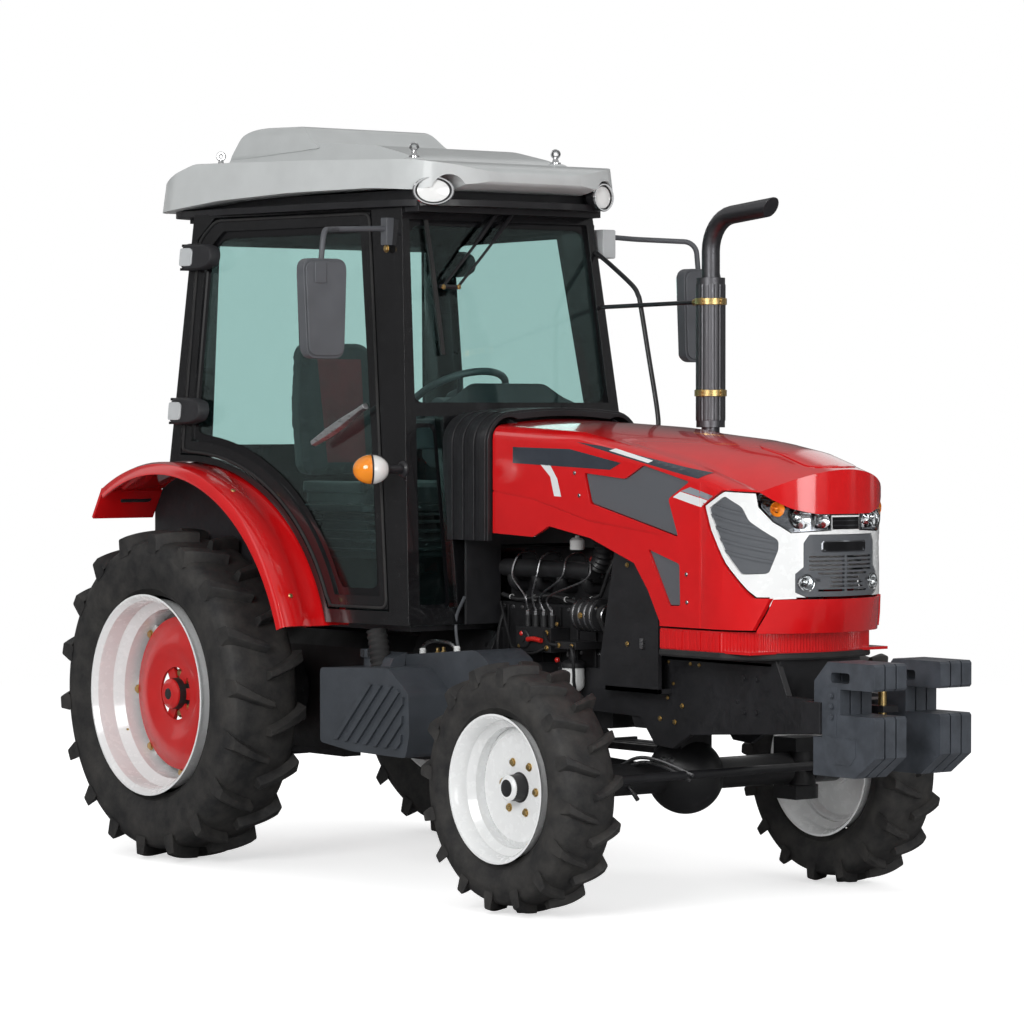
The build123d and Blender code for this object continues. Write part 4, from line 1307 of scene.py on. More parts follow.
# %% Engine
CRANK, FAN, ALTERNATOR, STARTER = (0, 700), (0, 985), (-225, 985), (-205, 700)  # y, z of the shafts along x
motor = [prism_x([(-128, 640), (128, 640), (150, 700), (150, 1010), (-150, 1010), (-150, 700)], 1275, 1905),
         prism_y([(1290, 645), (1290, 520), (1500, 520), (1560, 572), (1880, 580), (1880, 645)], -118, 118, 12),
         box(1300, 1885, -118, 118, 1010, 1128),
         prism_x([(-88, 1128), (88, 1128), (88, 1180), (66, 1206), (-66, 1206), (-88, 1180)], 1325, 1860),
         prism_x([(-140, 640), (140, 640), (165, 760), (120, 1000), (-120, 1000), (-165, 760)], 1905, 1945)]
motor += [box(x - 6, x + 6, -160, 160, 690, 1000) for x in (1330, 1430, 1530, 1630, 1730, 1830)]
motor += [rod((1268, 0, 760), (1290, 0, 760), 215, 48), rod((1940, *CRANK), (1990, *CRANK), 78),
          rod((1940, *FAN), (1996, *FAN), 52), rod((1340, -176, 1135), (1850, -176, 1135), 32),
          rod((1360, 178, 1110), (1830, 178, 1110), 34), disc_y(1800, 1110, 46, 178, 226)]
for x in (1385, 1525, 1665, 1805):
    motor.append(tube([(x, -105, 1070), (x, -176, 1070), (x, -176, 1120)], 21, [30]))
    motor.append(tube([(x, 105, 1062), (x, 178, 1062), (x, 178, 1110)], 21, [30]))
motor += [box(1480, 1680, -238, -152, 842, 930), rod((1600, -145, 760), (1600, -258, 760), 44),
          rod((1290, *STARTER), (1480, *STARTER), 46), rod((1842, *ALTERNATOR), (1962, *ALTERNATOR), 58),
          box(1850, 1890, -225, -140, 972, 998), box(1742, 1858, -268, -150, 862, 888)]
motor += [rod((1510 + 46 * i, -205, 928), (1510 + 46 * i, -205, 972), 13) for i in range(4)]
blades = [rod((1996, *FAN), (2032, *FAN), 46)]
for i in range(6):  # the fan's blades
    blade = placed(box(-3, 3, -31, 31, -80, 80), Matrix.Rotation(radians(32), 4, "Z"))
    turn = Matrix.Translation((2016, *FAN)) @ Matrix.Rotation(radians(60 * i), 4, "X")
    blades.append(placed(blade, turn @ Matrix.Translation((0, 0, 118))))
dress("motor", total(*motor, *blades), "chassis", cast_black, "cast_black", 0.0015, "engine")

# %% [markdown]
# The tank is a side outline with a saddle. Slanted ribs on its face are cut to the field they fill.

# %% Tank and step
TANK_SIDE = [(905, 500), (1105, 478), (1425, 474), (1448, 560), (1440, 705), (1317, 789), (905, 770)]
SADDLE_SIDE = [(1045, 745), (1088, 816), (1590, 858), (1664, 819), (1646, 720), (1500, 600), (1440, 478),
               (1100, 478)]
field = prism_y([(925, 520), (1405, 500), (1420, 690), (1312, 765), (925, 748)], -720, -600)
tank = [prism_y(TANK_SIDE, -690, -360, 18), prism_y(SADDLE_SIDE, -505, -300, 24),
        prism_x([(-690, 600), (-560, 600), (-500, 830), (-560, 812)], 1060, 1180),
        rod((1000, -520, 755), (1000, -520, 806), 34), rod((1000, -520, 806), (1000, -520, 836), 44)]
for i in range(7):
    x = 985 + 62 * i
    tank.append(prism_y([(x, 505), (x + 26, 505), (x + 246, 725), (x + 220, 725)], -700, -688) & field)
tank += [box(x, x + 30, -505, -210, 566, 580) for x in (960, 1210)]
dress("tank", total(*tank), "chassis", slate, "tank_plastic", 0.004, "fuel_tank")
step_parts = [prism_y([(960, 560), (1400, 560), (1440, 640), (1420, 790), (960, 800)], 300, 560, 14),
              box(1000, 1030, 210, 300, 590, 604)]
for z in (420, 640):
    tread = box(1000, 1300, 560, 730, z, z + 25)
    for i in range(5):
        tread = tread - box(1030 + 60 * i, 1060 + 60 * i, 590, 700, z - 5, z + 30)
    step_parts.append(tread)
step_parts += [prism_x([(545, 700), (545, 480), (600, 420), (730, 420), (730, 455), (615, 455), (575, 500),
                        (575, 700)], x, x + 15) for x in (985, 1300)]
dress("step_and_case", total(*step_parts), "chassis", black_satin, "moulded_black", 0.0015, "left_step")

# %% [markdown]
# Rims and discs are turned from closed profiles. Eight clamps hold each rear rim to its disc.

# %% Rims and discs
def rim_profile(radius, half, well, lip):
    """A drop-centre rim of one plate thickness, as a closed outline of radius and y."""
    t = 8
    outer = [(radius, -half), (radius - 4, -half + 9), (radius - lip, -half + 16), (radius - lip - 4, -half * 0.5),
             (well, -half * 0.3), (well, half * 0.3), (radius - lip - 4, half * 0.5), (radius - lip, half - 16),
             (radius - 4, half - 9), (radius, half)]
    inner = [(radius - t, half), (radius - lip - t, half - 18), (radius - lip - 4 - t, half * 0.48),
             (well - t, half * 0.28), (well - t, -half * 0.28), (radius - lip - 4 - t, -half * 0.48),
             (radius - lip - t, -half + 18), (radius - t, -half)]
    return outer + inner


REAR_DISH = [(291, -8), (291, 0), (262, 6), (240, 24), (170, 34), (140, 22), (100, 22), (100, 12), (146, 12),
             (172, 24), (236, 14), (258, -4), (282, -8)]
REAR_HUB = [(0.5, -40), (94, -40), (94, -18), (88, -6), (60, 0), (56, 46), (40, 56), (0.5, 56)]
FRONT_DISH = [(207, -16), (207, -6), (184, 10), (168, 4), (40, 4), (40, -6), (166, -6), (184, 0), (198, -16)]
FRONT_HUB = [(0.5, -30), (70, -30), (70, 0), (44, 0), (44, 52), (36, 60), (0.5, 60)]
clamp = box(276, 324, -30, -20, -34, 34) + box(276, 292, -20, -8, -26, 26)
rear_hoop = total(ring_y(rim_profile(381, 160, 330, 16)), *[about_y(clamp, 45 * i) for i in range(8)])
rear_disc = total(ring_y(REAR_DISH), ring_y(REAR_HUB),
                  *[about_y(box(50, 122, -6, 12, -22, 22), 60 * i) for i in range(6)])
front_hoop = total(ring_y(rim_profile(254, 112, 214, 13)), ring_y(FRONT_DISH), ring_y(FRONT_HUB))
for side, sign in SIDES:
    half_turn = Matrix.Rotation(0 if sign > 0 else pi, 4, "Z")
    for name, shape, finish, slot in (
            ("rear_rim", rear_hoop, white_gloss, "white_paint"), ("rear_disc", rear_disc, red_disc, "disc_paint"),
            ("front_rim", front_hoop, white_gloss, "white_paint")):
        end = name.split("_")[0]
        x, y, z = AXLES[end]
        wheel = placed(shape, Matrix.Translation((x, sign * y, z)) @ half_turn)
        dress(f"{name}_shape_{side}", wheel, f"{end}_wheel_{side}", finish, slot, 0.001, f"{name}_{side}")

# %% [markdown]
# ## Wheel fittings
# Each rear wheel is a white rim bolted to a red disc, and the disc to a black hub. The front wheels have one
# welded centre with six gold nuts. The nuts ride on their wheels, so they turn with them.

# %% Hub, nuts and valves


def ring_of_bolts(centre, side, radius, out, count, size, turn=0.0):
    x, y, z = centre
    parts = []
    for i in range(count):
        a = turn + tau * i / count
        parts.append(bolt((x + radius * sin(a), y + side * out, z - radius * cos(a)), (0, side, 0), size))
    return join(*parts)


def valve(centre, side, radius, out, turn):
    x, y, z = centre
    a = radians(turn)
    foot = Vector((x + radius * sin(a), y + side * out, z - radius * cos(a)))
    tip = foot + Vector((-14 * sin(a), side * 26, 14 * cos(a)))
    return pipe([foot, (foot + tip) / 2, tip], 4.2, 10, 3)


REAR_CAP = [(0, 57), (20, 57), (24, 54), (38, 54), (54, 45), (57, 38), (61, 2), (78, -3), (90, -4), (95, -12),
            (95, -40)]
FRONT_CAP = [(0, 61), (26, 61), (37, 58), (44, 50), (45.5, 20), (47, 6), (52, 4.4), (54, -3)]
for side, sign in SIDES:
    rear, front = [(x, sign * y, z) for x, y, z in AXLES.values()]
    hub = turned(REAR_CAP, rear, (0, sign, 0), 40)
    piece(f"rear_hub_{side}", *hub, f"rear_wheel_{side}", cast_black, "cast_black")
    bolts = join(ring_of_bolts(rear, sign, 76, -2.5, 8, 15), ring_of_bolts(rear, sign, 303, -6, 8, 15),
                 valve(rear, sign, 338, 30, -62))
    piece(f"rear_wheel_bolts_{side}", *bolts, f"rear_wheel_{side}", gold, edge=0.0006)
    cap = turned(FRONT_CAP, front, (0, sign, 0), 40)
    piece(f"front_hub_cap_{side}", *cap, f"front_wheel_{side}", cast_black, "cast_black")
    nuts = join(ring_of_bolts(front, sign, 90, 4, 6, 13, 0.4), valve(front, sign, 224, 30, 30))
    piece(f"front_wheel_nuts_{side}", *nuts, f"front_wheel_{side}", gold, edge=0.0006)

# %% [markdown]
# ## Thin trim laid on a curved skin
# Stripes follow the metal under them. The outline is cut into small triangles, and each corner is
# dropped onto the solid by a ray. Lifted by half a millimetre, the patch then lies on the paint like a decal.

# %% Lay an outline on a solid


def tree_of(name):
    if name not in TREES:
        TREES[name] = surface_of(nodes[name].data)
    return TREES[name]


def laid_on(node, outline, place, direction, lift=0.6, cell=14.0):
    """Cuts the outline into cells, drops its points along the direction onto the node; place maps (u, v)."""
    patch = bmesh.new()
    patch.faces.new([patch.verts.new((u, v, 0)) for u, v in outline])
    us, vs = [p[0] for p in outline], [p[1] for p in outline]
    for axis, low, high in ((0, min(us), max(us)), (1, min(vs), max(vs))):
        for k in range(1, int((high - low) / cell) + 1):
            spot, normal = [0, 0, 0], [0, 0, 0]
            spot[axis], normal[axis] = low + k * cell, 1
            bmesh.ops.bisect_plane(patch, geom=patch.verts[:] + patch.edges[:] + patch.faces[:],
                                   plane_co=spot, plane_no=normal)
    bmesh.ops.triangulate(patch, faces=patch.faces[:])
    ray = Vector(direction).normalized()
    tree = tree_of(node)
    verts, last = [], None
    for v in patch.verts:
        start = place(v.co.x, v.co.y) - ray * 0.6
        hit, normal, _, _ = tree.ray_cast(start, ray)
        if hit is None:
            hit, normal = (last if last is not None else start + ray * 0.6), -ray
        if normal.dot(ray) > 0:
            normal = -normal
        verts.append(hit + normal * lift / 1000)
        last = hit
    faces = [tuple(v.index for v in face.verts) for face in patch.faces]
    patch.free()
    return verts, faces


def flank(node, outline, side, lift, cell=7.0):
    """An outline in x, z on a side of the machine."""
    return laid_on(node, outline, lambda x, z: at(x, side * 595, z), (0, -side, 0), lift, cell)


print("outlines can be laid on solids")

# %% Stripes on the bonnet
stripe_dark = painted("stripe_slate", (0.035, 0.042, 0.055), gloss=0.2, coat=0.8, vary=0.1)
stripe_white = painted("stripe_white", (0.75, 0.77, 0.78), gloss=0.2, coat=0.8, vary=0.03)
stripe_grey = painted("stripe_grey", (0.26, 0.28, 0.31), gloss=0.2, coat=0.8, vary=0.06)
WEDGE = [(1587, 1515), (2128, 1497), (2187, 1521), (1909, 1567), (1587, 1572)]
LONG = [(2182, 1545), (2586, 1472), (2627, 1492), (2073, 1579), (1942, 1592)]
# The white streak along the long stripe is a painted highlight: a white decal where the stripe's gloss catches the
# light.
LONG_STRIPE_PAINTED_HIGHLIGHT = [(2120, 1563), (2330, 1522), (2350, 1530), (2150, 1570)]
SLASH = [(1745, 1512), (1800, 1510), (1840, 1462), (1862, 1400), (1822, 1402), (1800, 1470)]
CHEEK = [(2462, 1409), (2602, 1378), (2650, 1398), (2500, 1428)]
CHEEK_GREY = [(2503, 1430), (2653, 1400), (2678, 1413), (2550, 1444)]
TRIM = [  # name, outline, finish, height over the paint
    ("wedge_stripe", WEDGE, stripe_dark, 1.0), ("long_stripe", LONG, stripe_dark, 1.0),
    ("slash_stripe", SLASH, stripe_white, 1.0), ("cheek_patch", CHEEK, stripe_white, 1.0),
    # The long stripe's white streak below is a painted highlight, laid over the dark stripe.
    ("cheek_patch_grey", CHEEK_GREY, stripe_grey, 1.0), ("long_stripe_light", LONG_STRIPE_PAINTED_HIGHLIGHT, stripe_white, 1.6),
]
for name, outline, finish, lift in TRIM:
    for side, sign in SIDES:
        part = flank("bonnet", outline, sign, lift)
        piece(f"{name}_{side}", *part, "bonnet", finish, "red_paint", smooth=False)

# %% [markdown]
# ## The glazed cab
# The cab's side walls lean in toward the roof, so every piece on them is placed by one formula for the wall.
# Glass is glued behind a printed black border. A rubber seal runs round each door.

# %% Places on the cab's walls
WALL_FOOT, WALL_TAPER, WALL_LEAN = 803.5, 0.13, 0.09  # y at the origin, and how it shrinks forward and upward


def wall_y(x, z, out=0.0):
    """y of the right side wall, out millimetres outside it."""
    return -(WALL_FOOT - WALL_TAPER * x - WALL_LEAN * z) - out


def screen_x(z, out=0.0):
    """x of the front wall."""
    return 1382 - SCREEN_LEAN * z + out


def door_line(inset, steps=26):
    """x, z round a door: straight sides, and the wheel arch's curve at its lower rear."""
    reach = 905 + inset
    top, sill = 2432 - inset, 978 + inset
    front_low = (1158 - inset, sill)
    arc_foot = sqrt(reach ** 2 - (sill - AXLE_Z) ** 2)
    rear_x = -38 + inset
    arc_head = AXLE_Z + sqrt(reach ** 2 - rear_x ** 2)
    a0, a1 = atan2(sill - AXLE_Z, arc_foot), atan2(arc_head - AXLE_Z, rear_x)
    arc = [(reach * cos(a0 + (a1 - a0) * k / steps), AXLE_Z + reach * sin(a0 + (a1 - a0) * k / steps))
           for k in range(steps + 1)]
    straight = rounded([arc[-1], (-30 + inset, 2351 - inset * 0.6), (60 + inset * 0.6, top), (915 - inset * 0.6, top),
                        front_low, arc[0]], 34, 5)
    return straight[3:-3] + arc[1:-1]


def band(outer, inner, place):
    """A flat ring between two outlines with the same number of points."""
    return [place(*p) for p in outer] + [place(*p) for p in inner], net_faces(2, len(outer))


print("the cab's walls are known")

# %% Door seals, printed borders and handles
satin_silver = metal("satin_silver", (0.80, 0.81, 0.82), 0.34, 30, 0.03)
frit = painted("printed_border", (0.006, 0.006, 0.007), gloss=0.12, coat=0.6, vary=0.1)
for side, sign in SIDES:

    def on_wall(x, z, out=0.0, sign=sign):
        return at(x, -sign * wall_y(x, z, out), z)

    body = f"door_{side}"
    loop = [Vector((x, -sign * wall_y(x, z, 1.5), z)) for x, z in door_line(12)]
    seal = pipe(loop + [loop[0]], 5.5, 8, 0)
    piece(f"door_seal_{side}", *seal, body, seal_rubber)
    outer, inner = door_line(52), door_line(80)
    border = band(outer, inner, lambda x, z: on_wall(x, z, -11.4))
    piece(f"door_border_{side}", *border, body, frit, smooth=False)
    grip = []
    for k in range(9):
        t = k / 8
        x, z = 735 + 262 * t, 1581 + 136 * t
        wide = 13 + 9 * sin(pi * min(1, t * 1.15))
        for u, v in ((-1, -0.5), (-0.6, 0.7), (0.6, 0.7), (1, -0.5), (0.6, -0.9), (-0.6, -0.9)):
            grip.append(on_wall(x - u * wide * 0.46, z + u * wide * 0.89, 34 + v * 15))
    piece(f"door_handle_{side}", grip, net_faces(9, 6, caps=True), body, satin_silver, edge=0.002)
    lock = turned([(0, 0), (15, 0), (15, 3), (11, 5), (10, 3), (0, 3)], (770, -sign * wall_y(770, 1622, 6), 1622),
                  (0, sign, 0), 24)
    piece(f"door_lock_{side}", *lock, body, steel)

# %% [markdown]
# Each hinge hides under a domed cover with a paler pad. Both are outlines lifted off the wall in layers.

# %% Hinge covers
insert_grey = painted("insert_grey", (0.50, 0.52, 0.53), gloss=0.4, coat=0.2, vary=0.04, bump=0.1)
for side, sign in SIDES:
    shells, inserts = [], []
    for z in (1699, 2284):
        def on_hinge(u, v, out, z=z, sign=sign):
            return at(-58 + u, -sign * wall_y(-58 + u, z + v, out), z + v)

        outline = rounded([(0, -45), (30, -52), (120, -48), (166, -34), (178, 0), (166, 34), (120, 48), (30, 52),
                           (0, 45)], 20)
        small = [(8 + u * 0.93, v * 0.86) for u, v in outline]
        foot = [on_hinge(u, v, 6) for u, v in outline] + [on_hinge(u, v, 40) for u, v in outline]
        foot += [on_hinge(u, v, 52) for u, v in small]
        n = len(outline)
        shells.append((foot, net_faces(3, n) + [tuple(range(2 * n, 3 * n)), tuple(range(n - 1, -1, -1))]))
        pad = rounded([(2, -34), (62, -34), (70, -26), (70, 22), (58, 34), (2, 34)], 10)
        n = len(pad)
        face = [on_hinge(u, v, 30) for u, v in pad] + [on_hinge(u, v, 57) for u, v in pad]
        inserts.append((face, net_faces(2, n) + [tuple(range(n, 2 * n)), tuple(range(n - 1, -1, -1))]))
    piece(f"hinge_covers_{side}", *join(*shells), f"door_{side}", moulded, edge=0.003)
    piece(f"hinge_inserts_{side}", *join(*inserts), f"door_{side}", insert_grey, edge=0.002)

# %% [markdown]
# The windscreen has a rounded black border too, and a black panel that rises in the middle to hide the back of
# the instruments. Two thin arms carry the wiper blade from the top edge.

# %% Windscreen border, panel and wiper


def mirrored_outline(half):
    """An outline given for y from 0 outward, closed over the middle."""
    return [(y, z) for y, z in half] + [(-y, z) for y, z in reversed(half)]


outer = rounded([(478, 1700), (432, 2400), (-432, 2400), (-478, 1700)], 62, 8)
inner = rounded([(448, 1730), (406, 2374), (-406, 2374), (-448, 1730)], 52, 8)
border = band(outer, inner, lambda y, z: at(screen_x(z, -17.2), y, z))
on_chassis("screen_border", [border], frit, smooth=False)
HUMP = mirrored_outline([(420, 1712), (345, 1716), (250, 1752), (170, 1800)])
panel = plate(rounded(HUMP, 24), 0, -0.004, lambda y, z, d: at(screen_x(z, -28), y, z) + Vector((d, 0, 0)))
on_chassis("screen_panel", [panel], moulded, edge=0.001)
for side, sign in SIDES:
    low_outer = rounded([(352, 985), (520, 985), (468, 1655), (352, 1655)], 34, 5)
    low_inner = rounded([(368, 1002), (502, 1002), (453, 1640), (368, 1640)], 28, 5)
    border = band(low_outer, low_inner, lambda y, z, s=sign: at(screen_x(z, -17.2), s * y, z))
    on_chassis(f"low_pane_border_{side}", [border], frit, smooth=False)

ARM_TOP, ARM_FOOT = ((19, 2470), (91, 2468)), ((-299, 2150), (-229, 2151))
arms = []
for (y0, z0), (y1, z1) in zip(ARM_TOP, ARM_FOOT):
    middle = ((y0 + y1) / 2, (z0 + z1) / 2)
    top = (screen_x(z0, 14), y0, z0)
    arms.append(pipe([top, (screen_x(middle[1], 26), *middle), (screen_x(z1, 16), y1, z1)], 5.5, 8, 6))
    thick = ((y0 * 0.55 + y1 * 0.45), (z0 * 0.55 + z1 * 0.45))
    arms.append(pipe([top, (screen_x(thick[1], 25), *thick)], 9, 8, 4))
foot_x, pin_x = screen_x(2150, 16), screen_x(2150, 22)
arms.append(pipe([(foot_x, -310, 2152), (foot_x, -220, 2150)], 8, 8, 2))
on_chassis("wiper_arms", arms, black_satin)
blade = []
for k in range(13):
    t = k / 12
    y, z = -336 + 32 * t, 2394 - 490 * t
    bow = 4 * sin(pi * t)
    for u, v in ((-2, 0.5), (-8, 10 + bow), (-6, 17 + bow), (6, 17 + bow), (8, 10 + bow), (2, 0.5)):
        blade.append(at(screen_x(z, -17 + v), y + u, z))
piece("wiper_blade", blade, net_faces(13, 6, caps=True), "chassis", seal_rubber)
pins = [bolt((pin_x, *foot), (1, 0, 0), 8) for foot in ((-299, 2150), (-229, 2151))]
on_chassis("wiper_pins", pins, gold)

# %% Mirrors, pillar box and rail
brackets, glass_faces = [], []
for sign in (1, -1):
    for x, z in ((1023, 2386), (1029, 2288)):
        brackets.append(bolt((x, -sign * wall_y(x, z, 15), z), (0, sign, 0), 13))
    outline = rounded([(-968, 2204), (-938, 2232), (-802, 2232), (-788, 2208), (-801, 1904), (-822, 1890),
                       (-928, 1890), (-956, 1914)], 16)
    glass_faces.append(plate([(-sign * y, z) for y, z in outline], 0, -0.003,
                             lambda y, z, d: at(1159.5, y, z) + Vector((d, 0, 0))))
on_chassis("mirror_bracket_bolts", brackets, gold, edge=0.0006)
mirror_glass = metal("mirror_silver", (0.92, 0.93, 0.94), 0.02, 8, 0.0)
on_chassis("mirror_faces", glass_faces, mirror_glass, smooth=False)
box_outline = rounded(rectangle(1044, 1112, 2272, 2380), 8)
box_part = plate(box_outline, 0, 0.062, lambda x, z, d: at(x, -wall_y(1040, 2330, 8), z) + Vector((0, d, 0)))
on_chassis("pillar_box", [box_part], insert_grey, edge=0.004)
RAIL = [(1096, 446, 2292), (1165, 450, 2252), (1300, 450, 2168), (1336, 450, 2130), (1352, 450, 2088),
        (1400, 450, 1895), (1448, 450, 1700), (1456, 445, 1630), (1452, 420, 1580), (1440, 350, 1556)]
on_chassis("front_rail", [pipe(RAIL, 9, 12, 8)], black_satin)

# %% [markdown]
# ## Roof
# Four chrome lifting eyes stand on low bosses. A work lamp sits in each front corner of the roof; the right
# one is a wide oval, turned outward. The turn lamps on the pillars are half amber and half clear.

# %% Lifting eyes


def torus(radius, thick, steps=28, sides=10):
    verts = []
    for i in range(steps):
        a = tau * i / steps
        for k in range(sides):
            b = tau * k / sides
            r = radius + thick * cos(b)
            verts.append(Vector((r * cos(a), thick * sin(b), r * sin(a))) / 1000)
    return verts, net_faces(steps, sides, loop=True)


EYES = [(-264, 330, 2588, 2652), (-264, -330, 2588, 2652), (996, 331, 2606, 2624), (996, -331, 2606, 2624)]
bosses, eyes = [], []
for x, y, low, seat_z in EYES:
    seat = (x, y, seat_z)
    bosses.append(turned([(52, low - seat_z - 12), (46, -10), (34, -2), (26, 0), (0, 0)], seat, (0, 0, 1), 32))
    eyes.append(turned([(20, 0), (20, 6), (13, 9), (9, 22), (9, 26), (0, 26)], seat, (0, 0, 1), 20))
    stand = Matrix.Translation(at(x, y, seat_z + 38)) @ Matrix.Rotation(radians(50), 4, "Z")
    eyes.append(moved(torus(13, 6), stand))
on_chassis("eye_bosses", bosses, roof_grey, "roof_shell")
on_chassis("lifting_eyes", eyes, chrome)

# %% Work lamps
lens_white = painted("lens_white", (0.86, 0.87, 0.86), gloss=0.12, coat=1.0, vary=0.02)
amber = painted("lens_amber", (0.85, 0.26, 0.015), gloss=0.12, coat=1.0, vary=0.1)
tail_red = painted("lens_red", (0.55, 0.01, 0.01), gloss=0.12, coat=1.0, vary=0.1)
clear_lens = painted("lens_clear", (0.80, 0.80, 0.78), gloss=0.12, coat=1.0, vary=0.03)


def ribbed_dome(radius, rise, step=4.0):
    """A lens's profile: a shallow dome whose height ripples a little, as moulded optics do."""
    count = int(radius / step)
    profile = [(radius + 2, -6), (radius + 2, 0)]
    for k in range(count, 0, -1):
        r = k * step
        ripple = 0.8 if k % 2 else 0.0
        profile.append((min(r, radius), rise * (1 - (r / radius) ** 2) + ripple))
    return profile + [(0, rise)]


RIGHT_WAY = (0.85, -0.53, 0)  # where the right work lamp looks
cases, lenses, rings = [], [], []
for sign in (1, -1):
    x, y, z = 1157, sign * LAMP_AT[1], LAMP_AT[2]
    out = Vector((1, 0.10, 0) if sign > 0 else RIGHT_WAY).normalized()
    case = [(0, 0), (14, 0), (22, 4), (34, 18), (44, 38), (50, 44), (50, 82), (46, 84), (44, 80), (0, 78)]
    cases.append(turned(case, (x - 10, y, z), out, 40))
    cases.append(pipe([(1105, y, z + 6), (1150, y, z)], 13, 16, 0))
    foot = Vector((x - 10, y, z)) + out * 78
    lenses.append(turned(ribbed_dome(45, 9), foot, out, 40))
    rings.append(turned([(46, 2), (52, 0), (53, 6), (50, 12), (46, 12), (45, 6)], foot, out, 40))
middle = Matrix.Translation(at(1190, -382, 2490)) @ along(RIGHT_WAY)
widen = middle @ Matrix.Diagonal((1.45, 1, 1, 1)) @ middle.inverted()
for group, which in ((cases, -2), (lenses, -1), (rings, -1)):
    group[which] = moved(group[which], widen)
lamp_case = on_chassis("work_lamps", cases, black_satin, "lamp_chrome")
on_chassis("work_lamp_rings", rings, chrome)
on_chassis("work_lamp_lenses", lenses, lens_white)
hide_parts("lamps")

# %% [markdown]
# A turn lamp is two fluted half balls back to back, clear in front and amber behind, on a bent stem.

# %% Turn lamps
TURN = (1152, 640, 1490)
fronts, backs, stems = [], [], []
for sign in (1, -1):
    place = Vector((TURN[0], sign * TURN[1], TURN[2]))
    out = Vector((-0.45, sign * 0.89, 0)).normalized()
    half = [(54 * sin(a), 66 * cos(a)) for a in [pi / 2 * (1 - k / 12) for k in range(13)]]
    fluted = [(r - (0.7 if k % 2 else 0), d) for k, (r, d) in enumerate(half)]
    fronts.append(turned([(54, -3)] + fluted, place, -out, 36))
    backs.append(turned([(54, -3)] + fluted, place, out, 36))
    inner = place - out * 58
    neck_foot = (1176, -sign * wall_y(1176, 1490, -4), 1490)
    stems.append(turned(rectangle(54.5, 56, -3, 3), place, out, 36))
    stems.append(pipe([inner, (inner + Vector(neck_foot)) / 2, neck_foot], 15, 16, 4))
    stems.append(turned([(24, 0), (22, 14), (16, 20), (0, 20)], inner + out * 10, -out, 24))
    stems.append(turned([(30, 0), (30, 6), (22, 12), (0, 12)], neck_foot, (0, sign, 0), 24))
turn_front = on_chassis("turn_lamps_clear", fronts, clear_lens, "lamp_chrome")
on_chassis("turn_lamps_amber", backs, amber)
on_chassis("turn_lamp_stems", stems, black_satin)
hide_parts("lamps")

# %% [markdown]
# The tail lamps sit on the mudguards' backs, so they are placed in a tilted frame of their own.

# %% Tail lamps
housings, reds, ambers = [], [], []
AXIS = Vector((-0.508, 0, 0.861))
FACE = Vector((-0.861, 0, -0.508))
for sign in (1, -1):
    centre = Vector((-438, sign * 630, 1368))

    def on_tail(u, v, out, centre=centre):
        return at(*(centre + Vector((0, 1, 0)) * u + AXIS * v + FACE * out))

    def block(u0, u1, v0, v1, low, high, radius=5, on_tail=on_tail):
        return plate(rounded(rectangle(u0, u1, v0, v1), radius), low, high, on_tail)

    housings.append(block(-70, 70, -30, 30, -18, 10, 9))
    inner, outer = (-66, -4) if sign > 0 else (4, 66), (2, 66) if sign > 0 else (-66, -2)
    reds.append(block(*inner, -26, 26, 8, 16))
    ambers.append(block(*outer, -26, 26, 8, 16))
tail = on_chassis("tail_lamp_housings", housings, moulded, "lamp_chrome", edge=0.002)
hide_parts("lamps")
on_chassis("tail_lamp_red", reds, tail_red, edge=0.0015)
on_chassis("tail_lamp_amber", ambers, amber, edge=0.0015)

# %% [markdown]
# ## The nose
# A headlamp is a deep tray with a clear cover. The cover follows the nose because its points are dropped onto
# the lamp's own block, and the tray is the same net of points pushed inward, with walls round its rim.

# %% Helpers for trays and raised panels


def walls_between(faces, n):
    """Faces that join the rim of a net of n points to the same net, listed after it."""
    edges = {(a, b): None for face in faces for a, b in zip(face, face[1:] + face[:1])}
    return [(a, b, n + b, n + a) for a, b in edges if (b, a) not in edges]


def tray(node, outline, place, direction, rim, deep, cell=14.0):
    """An open box whose mouth lies on a node's surface, rim millimetres in, and whose floor is deeper."""
    mouth, faces = laid_on(node, outline, place, direction, -rim, cell)
    floor, _ = laid_on(node, outline, place, direction, -deep, cell)
    n = len(mouth)
    return mouth + floor, [tuple(n + i for i in face) for face in faces] + walls_between(faces, n)


def spot_on(node, place, direction, out=0.0):
    """Where a ray from a place on the drawing meets a node, moved out by some millimetres."""
    ray = Vector(direction).normalized()
    hit, normal, _, _ = tree_of(node).ray_cast(at(*place), ray)
    if normal.dot(ray) > 0:
        normal = -normal
    return hit + normal * out / 1000, normal


def set_at(profile, where, normal, steps=24):
    """A lathe piece standing on a spot found by spot_on."""
    part = lathe([(r / 1000, y / 1000) for r, y in profile], steps)
    return moved(part, Matrix.Translation(where) @ along(normal))


AHEAD = 3400  # a place well in front of the nose


def from_front(y, z):
    return at(AHEAD, y, z)


print("trays can be made")

